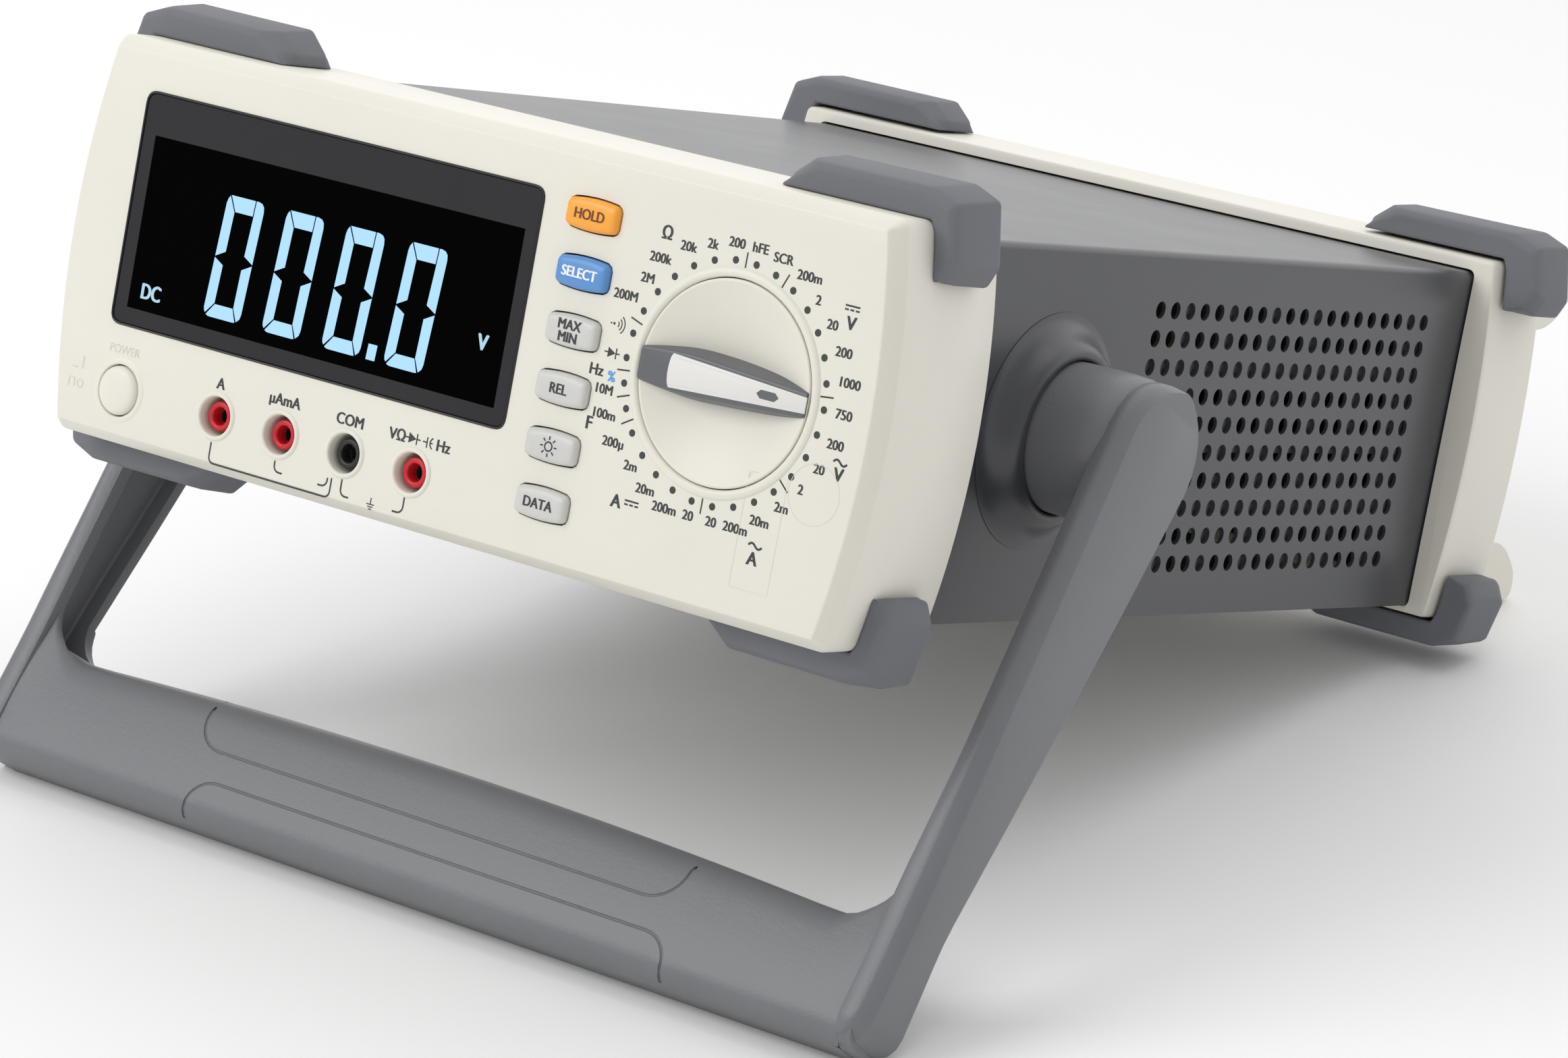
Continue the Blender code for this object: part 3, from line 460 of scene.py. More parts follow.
def digit_segments(left):
    """The six lit segments of a leaning nought, as outlines in x and z."""
    wide, tall, side, top, foot, middle, gap = 11.3, 28.4, 2.8, 3.6, 3.1, 13.8, 0.16
    lean, floor, inner, upper, lower = 0.063, 35.3, wide - side, middle + 1.6, middle - 1.6
    shapes = [
        [(0, middle + gap), (0, tall - 2.0), (0.25, tall - 0.9), (0.7, tall - 0.2), (side, tall - top - 0.2),
         (side, upper)],
        [(1.0, tall), (inner - 0.2, tall), (inner - 0.2, tall - top), (side + 0.25, tall - top)],
        [(inner + 0.12, tall), (wide - 2.0, tall), (wide - 0.9, tall - 0.3), (wide - 0.25, tall - 1.0),
         (wide, tall - 2.2), (wide, middle + gap), (inner, upper), (inner + 0.12, tall - top - 0.1)],
        [(0, middle - gap), (0, 2.0), (0.2, 1.2), (0.6, 0.75), (side, foot + 0.25), (side, lower)],
        [(0.95, 0.4), (1.5, 0.08), (2.2, 0), (wide - 2.2, 0), (wide - 1.5, 0.1), (inner - 0.1, foot),
         (side + 0.2, foot)],
        [(wide, middle - gap), (wide, 2.2), (wide - 0.25, 1.1), (wide - 1.1, 0.3),
         (inner + 0.12, foot + 0.15), (inner, lower)],
    ]  # fmt: skip
    return [[(left + x + lean * z, floor + z) for x, z in shape] for shape in shapes]


def plate(bm, outline, y=0.0, thick=0.03):
    """Adds a thin flat shape in front of the plane y to bm."""
    back, front = ([bm.verts.new((x, at, z)) for x, z in outline] for at in (y + 0.01, y - thick))
    bm.faces.new(back)
    bm.faces.new(front[::-1])
    for i in range(len(outline)):
        j = (i + 1) % len(outline)
        bm.faces.new((back[i], front[i], front[j], back[j]))


def stroke(bm, points, width, y=0.0, thick=0.03):
    """Adds a thin line of constant width along points."""
    left, right = [], []
    for i, point in enumerate(points):
        here = Vector(point)
        ahead = Vector(points[min(i + 1, len(points) - 1)]) - Vector(points[max(i - 1, 0)])
        side = Vector((-ahead.y, ahead.x)).normalized() * width / 2
        left.append(tuple(here + side))
        right.append(tuple(here - side))
    plate(bm, left + right[::-1], y, thick)


def lettering(bm, text, x, z, height, y=0.0, squeeze=0.95, bold=0.058):
    """Adds letters to bm, centred on (x, z), capitals height tall. Three shifted copies embolden them."""
    curve = bpy.data.curves.new("letters", "FONT")
    curve.body = text
    curve.size = height / 0.70
    curve.extrude = 0.02
    curve.resolution_u = 4
    curve.space_line = 0.86
    curve.align_x = "CENTER"
    made = bpy.data.objects.new("letters", curve)
    bpy.context.scene.collection.objects.link(made)
    mesh = bpy.data.meshes.new_from_object(made.evaluated_get(bpy.context.evaluated_depsgraph_get()))
    bpy.data.objects.remove(made)
    bpy.data.curves.remove(curve)
    heights = [vert.co.y for vert in mesh.vertices]
    widths = [vert.co.x for vert in mesh.vertices]
    middle = (min(heights) + max(heights)) / 2
    across = (min(widths) + max(widths)) / 2
    for aside, up in ((-bold, 0.0), (bold, 0.0), (0.0, bold * 0.5)):
        copy = mesh.copy()
        copy.transform(
            Matrix.Translation((x + aside * height, y - 0.01 - abs(up) * 0.01, z + up * height))
            @ Matrix.Rotation(math.radians(90), 4, "X")
            @ Matrix.Diagonal((squeeze, 1, 1, 1))
            @ Matrix.Translation((-across, -middle, 0))
        )
        bm.from_mesh(copy)
        bpy.data.meshes.remove(copy)
    bpy.data.meshes.remove(mesh)


def display_digits():
    """Four noughts with a point before the last, and the words beside them."""
    lit = bmesh.new()
    for left in (-71.3, -53.3, -35.3, -16.9):
        for shape in digit_segments(left):
            plate(lit, shape, LIT_PLANE)
    plate(lit, [(-22.0, 35.4), (-19.4, 35.4), (-19.2, 39.0), (-21.8, 39.0)], LIT_PLANE)
    piece(lit, "lit_digits", DIGIT)
    words = bmesh.new()
    lettering(words, "DC", -87.6, 36.9, 3.6, LIT_PLANE, 0.82)
    lettering(words, "V", 9.8, 45.9, 3.6, LIT_PLANE, 0.9)
    piece(words, "lit_words", LCD_WORD)


# Legends


def polar(radius, degrees):
    angle = math.radians(degrees)
    return DIAL_X + radius * math.cos(angle), DIAL_Z + radius * math.sin(angle)


def direct_current(bm, x, z, wide=3.8):
    """A line over three dashes."""
    plate(bm, rectangle(x - wide / 2, x + wide / 2, z + 0.35, z + 0.75))
    for i in range(3):
        low = x - wide / 2 + i * wide * 0.37
        plate(bm, rectangle(low, low + wide * 0.26, z - 0.5, z - 0.1))


def tilde(bm, x, z, wide=3.6):
    stroke(bm, [(x + wide * (i / 12 - 0.5), z + 0.55 * math.sin(math.tau * i / 12)) for i in range(13)], 0.5)


def diode(bm, x, z, size=1.0):
    plate(bm, [(x - 1.3 * size, z - 1.2 * size), (x + 0.9 * size, z), (x - 1.3 * size, z + 1.2 * size)])
    stroke(bm, [(x + 1.05 * size, z - 1.25 * size), (x + 1.05 * size, z + 1.25 * size)], 0.35 * size)
    for start, end in ((-2.3, -1.2), (1.1, 2.1)):
        stroke(bm, [(x + start * size, z), (x + end * size, z)], FINE_LINE * size)


def dial_legend():
    """A dot at each position, lines between the ranges' groups, and the ranges and units round the dial."""
    ink = bmesh.new()
    for i in range(DIAL_POSITIONS):
        plate(ink, circle(*polar(26.55, DIAL_STEP * i), 0.82, 24))
    for degrees in (90, 66, 6, 318, 270, 210, 198, 186, 162):
        stroke(ink, [polar(25.2, degrees), polar(28.6, degrees)], 0.36)
    labels = {
        0: "750", 12: "1000", 24: "200", 36: "20", 48: "2", 60: "200m", 72: "SCR", 84: "hFE", 96: "200",
        108: "2k", 120: "20k", 132: "200k", 144: "2M", 156: "200M", 204: "100m", 216: "200µ", 228: "2m",
        240: "20m", 252: "200m", 264: "20", 276: "20", 288: "200m", 300: "20m", 312: "2m", 324: "2",
        336: "20", 348: "200",
    }  # fmt: skip
    for degrees, text in labels.items():
        reach = 29.7 + 0.58 * len(text) * abs(math.cos(math.radians(degrees))) + 0.35 * max(len(text) - 2, 0)
        lean = 2.2 if degrees in (60, 132) else 0
        lettering(ink, text, *polar(reach, degrees - lean * (1 if degrees < 90 else -1)), SMALL_TEXT)
    lettering(ink, "10M", *polar(31.9, 194.4), SMALL_TEXT)
    lettering(ink, "Hz", *polar(34.1, 187.0), 2.5)
    for text, radius, degrees in (("F", 36.9, 205.5), ("Ω", 35.9, 127.1), ("V", 35.1, 33.2)):
        lettering(ink, text, *polar(radius, degrees), SIGN_TEXT)
    for text, x, z in (("V", 108.9, 38.3), ("A", 91.1, 16.0), ("A", 53.2, 20.0)):
        lettering(ink, text, x, z, SIGN_TEXT)
    for x, z in ((104.7, 73.2), (57.4, 20.2)):
        direct_current(ink, x, z)
    for x, z in ((108.8, 40.9), (91.3, 18.8)):
        tilde(ink, x, z)
    diode(ink, 45.2, 51.1, 0.95)
    x, z = polar(30.6, 167.6)
    for i, radius in enumerate((0.7, 1.5, 2.3)):
        stroke(ink, arc(x - 0.9, z, radius, -52, 52), 0.28)
    plate(ink, circle(x - 1.5, z, 0.32, 12))
    plate(ink, circle(x - 2.3, z, 0.22, 12))
    piece(ink, "dial_legend", INK)
    blue = bmesh.new()
    lettering(blue, "%", *polar(30.0, 189.3), 2.3)
    piece(blue, "percent_legend", INK_BLUE)


def socket_legend():
    """Words over the sockets, and the brackets and earth sign that pair them below."""
    ink = bmesh.new()
    amps, milliamps, common, volts = jack_places
    row = 21.0
    words = (("A", amps), ("µAmA", milliamps), ("COM", common), ("VΩ", volts - 5.6), ("Hz", volts + 7.9))
    for text, x in words:
        lettering(ink, text, x, row, TEXT)
    diode(ink, volts - 0.9, row)
    stroke(ink, [(volts + 1.9, row), (volts + 3.1, row)], FINE_LINE)
    stroke(ink, [(volts + 3.1, row - 1.2), (volts + 3.1, row + 1.2)], 0.35)
    stroke(ink, arc(volts + 5.3, row, 1.35, 118, 242), 0.35)
    stroke(ink, [(volts + 3.95, row), (volts + 4.7, row)], 0.3)

    def down(x, top, low):
        """From the top down, and round a bend to the right."""
        return [(x, top), (x, low + bend)] + arc(x + bend, low + bend, bend, 180, 270, 5)

    def up(x, top, low):
        """Round a bend coming from the left, and up to the top."""
        return arc(x - bend, low + bend, bend, 270, 360, 5) + [(x, top)]

    bend, near, far = 1.5, common - 2.4, common - 3.6
    for line in (
        down(amps, 7.4, 2.6) + up(near, 7.2, 2.6),
        down(milliamps, 7.4, 4.9) + [(milliamps + 2.6, 4.9)],
        [(far - 2.6, 4.9)] + up(far, 7.0, 4.9),
        down(common + 0.6, 7.6, 3.9) + [(common + 3.2, 3.9)],
        [(volts - 3.4, 3.9)] + up(volts - 0.5, 7.6, 3.9),
    ):
        stroke(ink, line, LINE)
    middle = (common + volts) / 2
    stroke(ink, [(middle, 5.4), (middle, 3.9)], 0.3)
    for i, half in enumerate((1.1, 0.75, 0.4)):
        stroke(ink, [(middle - half, 3.9 - 0.55 * i), (middle + half, 3.9 - 0.55 * i)], 0.26)
    piece(ink, "socket_legend", INK)


def power_marks():
    """Raised lettering and push-switch signs in the moulding, and the faint outlines right of the dial. Their
    colour, a little darker than the cream, is painted shade standing in for the shading of the relief.
    """
    raised, relief, trace = bmesh.new(), 0.08, 0.035
    lettering(raised, "POWER", POWER_X, 22.4, 2.0, bold=0.02)
    stroke(raised, [(-104.5, 15.5), (-104.5, 18.5)], 0.4, thick=relief)
    signs = [[(-107.6, 15.6), (-106.0, 15.6)], arc(-104.5, 12.0, 0.9, 0, 360, 20)]
    signs.append([(-108.0, 10.9), (-108.0, 13.0), (-106.3, 13.0), (-106.3, 10.9)])
    for line in signs:
        stroke(raised, line, 0.3, thick=relief)
    corners = [(86.4, 9.0), (96.6, 9.0), (96.6, 34.3), (86.4, 34.3), (86.4, 9.0)]
    for line in (corners, arc(103.7, 32.8, 6.6, 0, 360, 48)):
        stroke(raised, line, 0.16, thick=trace)
    piece(raised, "moulded_marks", MARKS_PAINTED_SHADE)


# Keys and dial


def keys():
    """Crowned caps with their words, and a lamp sign on the backlight's."""
    caps = {"hold_key": KEY_ORANGE, "select_key": KEY_BLUE}
    words = {
        "hold_key": ("HOLD", 2.3), "select_key": ("SELECT", 2.25), "extremes_key": ("MAX\nMIN", 2.25),
        "relative_key": ("REL", 2.3), "data_key": ("DATA", 2.3),
    }  # fmt: skip
    crown = (
        (-2.6, -1.86), (-1.5, -1.82), (-0.85, -1.68), (-0.4, -1.4), (-0.12, -1.0), (0.0, -0.4), (0.0, 3.5),
        (1.1, 3.5), (1.1, 4.7), (-1.2, 4.7), (-1.2, 7.3),
    )  # fmt: skip
    for name, z in key_places:
        rings = [at_y(shifted(key_outline(grow), KEY_X, z), y) for grow, y in crown]
        piece(
            loft(rings), f"cap_{name}", caps.get(name, KEY_GREY), name, 45,
            replaces=(name,),
        )  # fmt: skip
        ink = bmesh.new()
        if name in words:
            text, height = words[name]
            lettering(ink, text, KEY_X - 0.1, z, height, KEY_PLANE, 0.92)
        else:
            stroke(ink, arc(KEY_X, z, 1.0, 0, 360, 24), 0.35, KEY_PLANE)
            for i in range(8):
                angle = math.radians(45 * i)
                ends = [(KEY_X + r * math.cos(angle), z + r * math.sin(angle)) for r in (1.5, 2.3)]
                stroke(ink, ends, FINE_LINE, KEY_PLANE)
        colour = {"hold_key": INK_BROWN, "select_key": INK_WHITE}.get(name, INK)
        piece(ink, f"word_{name}", colour, name)


def knob():
    """Dished disc, tapering grip bar, and the white inlay with its edges and mark."""
    rim = DIAL_RADIUS - 0.75
    profile = [(0, 4.9)]
    for i in range(1, 15):
        radius = rim * i / 14
        profile.append((radius, 5.2 * (1 - (radius / rim) ** 2) - 0.3))
    profile += [
        (rim + 0.12, -0.36), (DIAL_RADIUS - 0.25, -0.36), (DIAL_RADIUS - 0.05, -0.2), (DIAL_RADIUS, 0.15),
        (DIAL_RADIUS, 5.5), (17.0, 8.6), (0, 8.6),
    ]  # fmt: skip
    piece(
        turned(profile, (DIAL_X, 0, DIAL_Z), segments=128), "knob_dish", CREAM, "range_knob", sharp=50,
        replaces=("range_knob",),
    )  # fmt: skip

    def outline(grow, left=-22.3, right=22.35):
        corners = [
            (right, -2.6 - grow), (right, 2.6 + grow), (-9.5, 4.45 + grow), (-17.5, 4.0 + grow),
            (left, 3.6 + grow), (left, -3.6 - grow), (-17.5, -4.0 - grow), (-9.5, -4.45 - grow),
        ]  # fmt: skip
        return rounded(corners, (0.5, 0.5, 3.0, 2.0, 0.5, 0.5, 2.0, 3.0), 3)

    steps = ((-0.55, -1.0), (-0.2, -0.94), (0.05, -0.74), (0.22, -0.3), (1.15, 3.0), (1.6, 5.6))
    rings = [at_y(shifted(outline(grow), DIAL_X, DIAL_Z), y) for grow, y in steps]
    piece(loft(rings), "knob_bar", GRIP_GREY, "range_knob", 40, replaces=("knob_grip",))

    def inlay(shrink):
        left = arc(-1.8 + shrink * 0.4, 0, 12.6, 162.5, 197.5, 8)
        upper = [(22.5 - shrink, 1.75 - shrink), (-13.6 + shrink, 3.75 - shrink)]
        lower = [(-13.6 + shrink, -3.75 + shrink), (22.5 - shrink, -1.75 + shrink)]
        return upper + [p for p in left if abs(p[1]) < 3.7 - shrink] + lower

    steps = ((0.0, -0.9), (0.0, -1.12), (0.14, POINTER_PLANE))
    rings = [at_y(shifted(inlay(shrink), DIAL_X, DIAL_Z), y) for shrink, y in steps]
    piece(loft(rings), "pointer_inlay", WHITE, "range_knob", 40, replaces=("knob_inlay",))
    rim_line = bmesh.new()
    for way in (1, -1):
        line = [(DIAL_X + 21.8, DIAL_Z + way * 1.28), (DIAL_X - 12.7, DIAL_Z + way * 3.05)]
        stroke(rim_line, line, 0.2, POINTER_PLANE, 0.06)
    piece(rim_line, "pointer_edges", WHITE, "range_knob")
    mark = bmesh.new()
    hexagon = [(-2.95, 0), (-1.9, 0.95), (1.9, 0.95), (2.95, 0), (1.9, -0.95), (-1.9, -0.95)]
    plate(mark, shifted(hexagon, DIAL_X + 12.5, DIAL_Z), POINTER_PLANE)
    piece(mark, "pointer_mark", GRIP_GREY, "range_knob")


# Case


def cover():
    """Folded sheet with real round vent holes."""
    start, end, bend = FRONT_DEPTH - 5, REAR_START + 5, 2.0

    def fold(half, top):
        points = [(half, CHASSIS_LOW)]
        for i in range(7):
            angle = math.radians(15 * i)
            points.append((half - bend + bend * math.cos(angle), top - bend + bend * math.sin(angle)))
        return points + [(-x, z) for x, z in reversed(points)]

    profile = fold(CHASSIS_HALF, CHASSIS_TOP) + fold(CHASSIS_HALF - SHEET, CHASSIS_TOP - SHEET)[::-1]
    sheet = loft([at_y(profile, start), at_y(profile, end)])
    holes = []
    for side in (-1, 1):
        near, far = side * 100, side * 104
        drill = [(0, near), (VENT_RADIUS, near), (VENT_RADIUS, far), (0, far)]
        for row in range(VENT_ROWS):
            for column in range(VENT_COLUMNS):
                y, z = VENT_FIRST_Y + VENT_PITCH * column, VENT_TOP_Z - VENT_PITCH * row
                holes.append(turned(drill, (0, y, z), "X", 20))
    sheet = combined(sheet, merged(*holes))
    piece(sheet, "vented_cover", SHEET_PAINT, sharp=35, replaces=("top_cover",))


def guards():
    """Plastic lattice close behind the vents: upright bars, mostly three columns apart, and cross bars."""
    low_edge, high_edge, front_edge, back_edge = 13.5, 79.0, 123.0, 262.0
    for side, sign in (("left", -1), ("right", 1)):
        shift, drop = 2.3, -0.4
        z_of = [VENT_TOP_Z - VENT_PITCH * row + drop for row in range(VENT_ROWS)]
        y_of = [VENT_FIRST_Y + VENT_PITCH * column + shift for column in range(VENT_COLUMNS)]
        cross = [(z_of[2], 2.6), (z_of[5] + 1.6, 1.5), (z_of[7] - 0.2, 2.4)]
        upper, lower = z_of[1] - 2.6, z_of[3] + 2.6
        solid = [(y_of[i] - 2.4, y_of[i] + 2.4, upper, high_edge) for i in (2, 5, 8, 11, 18)]
        solid += [(y_of[i] - 2.2, y_of[i] + 2.2, low_edge, lower) for i in (3, 6, 9, 12, 15, 18)]
        solid += [(front_edge, back_edge, z - half, z + half) for z, half in cross]
        solid += [(front_edge, 125.5, low_edge, high_edge), (259.5, back_edge, low_edge, high_edge)]
        ys = sorted({round(v, 3) for s in solid for v in s[:2]})
        zs = sorted({round(v, 3) for s in solid for v in s[2:]})
        near, far = sign * 98.8, sign * 100.4
        bm = bmesh.new()
        grid = {}

        def vert(i, k, x):
            key = (i, k, x)
            if key not in grid:
                grid[key] = bm.verts.new((x, ys[i], zs[k]))
            return grid[key]

        def filled(i, k):
            if not (0 <= i < len(ys) - 1 and 0 <= k < len(zs) - 1):
                return False
            y, z = (ys[i] + ys[i + 1]) / 2, (zs[k] + zs[k + 1]) / 2
            return any(a < y < b and c < z < d for a, b, c, d in solid)

        for i in range(len(ys) - 1):
            for k in range(len(zs) - 1):
                if not filled(i, k):
                    continue
                for x in (near, far):
                    bm.faces.new([vert(i, k, x), vert(i + 1, k, x), vert(i + 1, k + 1, x), vert(i, k + 1, x)])
                sides = (
                    ((i - 1, k), (i, k), (i, k + 1)), ((i + 1, k), (i + 1, k), (i + 1, k + 1)),
                    ((i, k - 1), (i, k), (i + 1, k)), ((i, k + 1), (i, k + 1), (i + 1, k + 1)),
                )  # fmt: skip
                for neighbour, a, b in sides:
                    if not filled(*neighbour):
                        bm.faces.new([vert(*a, near), vert(*b, near), vert(*b, far), vert(*a, far)])
        piece(
            bm, f"vent_lattice_{side}", HANDLE_GREY, sharp=30,
            replaces=(f"vent_guard_{side}",),
        )  # fmt: skip


def rear_shell():
    """Hollow rear frame that holds the cover's end, with four posts for winding a cord."""
    edge = ((1.9, REAR_START), (1.35, REAR_START + 0.15), (1.05, REAR_START + 0.75), (0.95, REAR_START + 1.4))
    rings = [at_y(bezel_outline(REAR_HALF, REAR_BOW, inset), y) for inset, y in edge]
    back = ((0.0, REAR_END - 4.6), (0.15, REAR_END - 3.9), (2.5, REAR_END - 0.5), (3.3, REAR_END))
    rings += [at_y(bezel_outline(REAR_HALF, REAR_BOW, inset), y) for inset, y in back]
    shell = loft(rings)
    hole = rectangle(-CHASSIS_HALF - 0.5, CHASSIS_HALF + 0.5, CHASSIS_LOW - 0.5, CHASSIS_TOP + 0.5, 2.2)
    shell = combined(shell, loft([at_y(hole, REAR_START - 1), at_y(hole, REAR_START + 4)]))
    inner = bezel_outline(REAR_HALF - 1.0, REAR_BOW, 3.0)
    shell = combined(shell, loft([at_y(inner, REAR_START + 3), at_y(inner, REAR_END - 3)]))
    opening = rectangle(-93, 93, 12, 82, 3.0)
    shell = combined(shell, loft([at_y(opening, REAR_END - 4), at_y(opening, REAR_END + 1)]))
    for sign in (-1, 1):
        for straight, inward in ((3.0, 1), (HEIGHT - 3.0, -1)):
            start, end = REAR_END - 1.5, REAR_END + 32.0
            slanted = straight + inward * 17
            corners = [
                (start, straight), (end, straight), (end, slanted - inward * 10),
                (end - 9, slanted - inward * 1.5), (start, slanted),
            ]  # fmt: skip
            outline = rounded(corners, (0.1, 5.0, 3.5, 6.0, 0.1), 5)
            x = sign * 97.0
            centre = ((start + end) / 2, straight + inward * 8)
            rings = []
            for offset, inset in ((-3.5, 0.4), (-3.1, 0.0), (3.1, 0.0), (3.5, 0.4)):
                ring = []
                for y, z in outline:
                    pull = Vector((centre[0] - y, centre[1] - z)).normalized() * inset
                    ring.append((x + offset, y + pull.x, z + pull.y))
                rings.append(ring)
            shell = combined(shell, loft(rings), "UNION")
    piece(shell, "rear_shell", CREAM, sharp=35, replaces=("rear_bezel",))


def collars():
    """Flared rings on the cover that take the handle's hubs."""
    for side, sign in (("left", -1), ("right", 1)):
        profile = [
            (4.6, 102.4), (27.4, 102.33), (26.2, 102.5), (25.0, 103.0), (23.9, 103.8), (22.9, 104.9),
            (22.1, 106.1), (21.4, 107.3), (20.6, 108.3), (19.7, 108.9), (18.8, 109.1), (18.1, 108.95),
            (17.7, 108.5), (17.6, 107.8), (17.6, 105.0), (4.6, 105.0),
        ]  # fmt: skip
        ring = turned([(r, sign * d) for r, d in profile], (0, PIVOT_Y, PIVOT_Z), "X", 96, ring=True)
        piece(
            ring, f"collar_{side}", SHEET_PAINT, sharp=50,
            replaces=(f"pivot_collar_{side}",),
        )  # fmt: skip


def bumpers():
    """Angular guards round the corners. The rear lower ones stay flat enough for the floor."""

    def outline(half, bow, leg, stand, trim):
        lowest, far = 81.2, 112.2 + stand
        inside = [(bowed_x(z, half, bow) + 0.1, z) for z in (lowest, 86.0, HEIGHT - 2.5)]
        inside += [(half - 0.7, HEIGHT + 0.1), (leg, HEIGHT + 0.1)]
        return inside + [
            (leg + trim, HEIGHT + 2.8), (leg + 5.5 + trim, HEIGHT + stand - 0.2), (far - 9.5, HEIGHT + stand),
            (far - 2.6, HEIGHT + stand - 2.6), (far, lowest + 4.6 + trim / 2), (far - 2.2, lowest + trim / 2),
        ]  # fmt: skip

    front = ((13.0, 5.6, 4.0), (14.4, 7.0, 2.6), (17.5, 7.5, 0.0), (28.5, 8.6, 0.0), (31.5, 6.2, 3.0))
    rear = ((281.2, 5.4, 4.0), (282.6, 6.9, 2.6), (285.5, 7.4, 0.0), (296.6, 8.0, 0.0), (299.6, 5.8, 3.0))
    ends = (("front", FRONT_HALF, FRONT_BOW, 71.4, front), ("rear", REAR_HALF, REAR_BOW, 66.5, rear))
    for end, half, bow, leg, steps in ends:
        for level, upside in (("upper", False), ("lower", True)):
            for side, sign in (("left", -1), ("right", 1)):
                rings = []
                most = 6.2 if upside and end == "rear" else 10.0
                for y, stand, trim in steps:
                    shape = outline(half, bow, leg, min(stand, most), trim)
                    rings.append(at_y([(sign * x, HEIGHT - z if upside else z) for x, z in shape], y))
                name = f"{end}_{level}_{side}"
                made = piece(
                    loft(rings), f"corner_guard_{name}", RUBBER, sharp=80,
                    replaces=(f"bumper_{name}",),
                )  # fmt: skip
                edge = made.modifiers.new("soft_edges", "BEVEL")
                edge.width, edge.segments, edge.limit_method = 0.0011, 3, "ANGLE"
                edge.angle_limit = math.radians(16)


# Handle


SWING = Matrix.Translation((0, PIVOT_Y, PIVOT_Z)) @ Matrix.Rotation(-LEAN, 4, "X")


def swung(x, d, f):
    """The point at distance d down the arms and f towards the handle's front."""
    return SWING @ Vector((x, -f, -d))


def arm_section(d, front, rear, outer):
    """Outline of an arm at distance d: x from the outer face inwards against f, towards the front."""
    soft = min((front - rear) / 10, 1.0)
    inner = (1.3 + 2.2 * min(max((112 - d) / 30, 0), 1)) * soft
    points = [
        (outer - 1.3 * soft, rear), (outer - 0.4 * soft, rear + 0.35 * soft), (outer, rear + 1.3 * soft),
        (outer, front - 3.1 * soft), (outer - 0.15 * soft, front - 2.7 * soft),
        (outer - 2.6 * soft, front - 0.2 * soft), (outer - 3.1 * soft, front),
        (ARM_IN + inner, front), (ARM_IN + 0.3 * inner, front - 0.3 * inner), (ARM_IN, front - inner),
        (ARM_IN, rear + 1.1 * soft), (ARM_IN + 0.3 * soft, rear + 0.3 * soft), (ARM_IN + 1.1 * soft, rear),
    ]  # fmt: skip
    return [(x, f, d) for x, f in points]


def bar_section(x):
    """Outline of the bar: distance from the pivot against f. It dips at mid width and rises into the arms."""
    reach = abs(x)
    top = BAR_TOP + 3.0 * min(reach / 108.0, 1.0) ** 2
    ease = min(max((reach - 111) / 9, 0), 1)
    if reach > FILLET_START:
        along = min(reach, 124.9) - FILLET_START
        top = FILLET_CENTRE + math.sqrt(max(FILLET_RADIUS**2 - along**2, 0))
    low = BAR_BOTTOM - 0.6 * min(max((reach - 125.5) / 2, 0), 1)
    corners = [(top, -7.6), (top, 7.8), (top * 0.45 + low * 0.55, 9.2), (low, 8.2), (low, -8.6)]
    return rounded(corners, (6.0 - 4.5 * ease, 9.0 - 6.0 * ease, 10.0, 5.5, 5.0), 6)


def bar_front(x, d):
    """How far the bar's front stands out at x and distance d."""
    section = bar_section(x)
    hits = []
    for (d0, f0), (d1, f1) in zip(section, section[1:] + section[:1]):
        if d0 != d1 and (d0 - d) * (d1 - d) <= 0:
            hits.append(f0 + (f1 - f0) * (d - d0) / (d1 - d0))
    return max(hits, default=0.0)


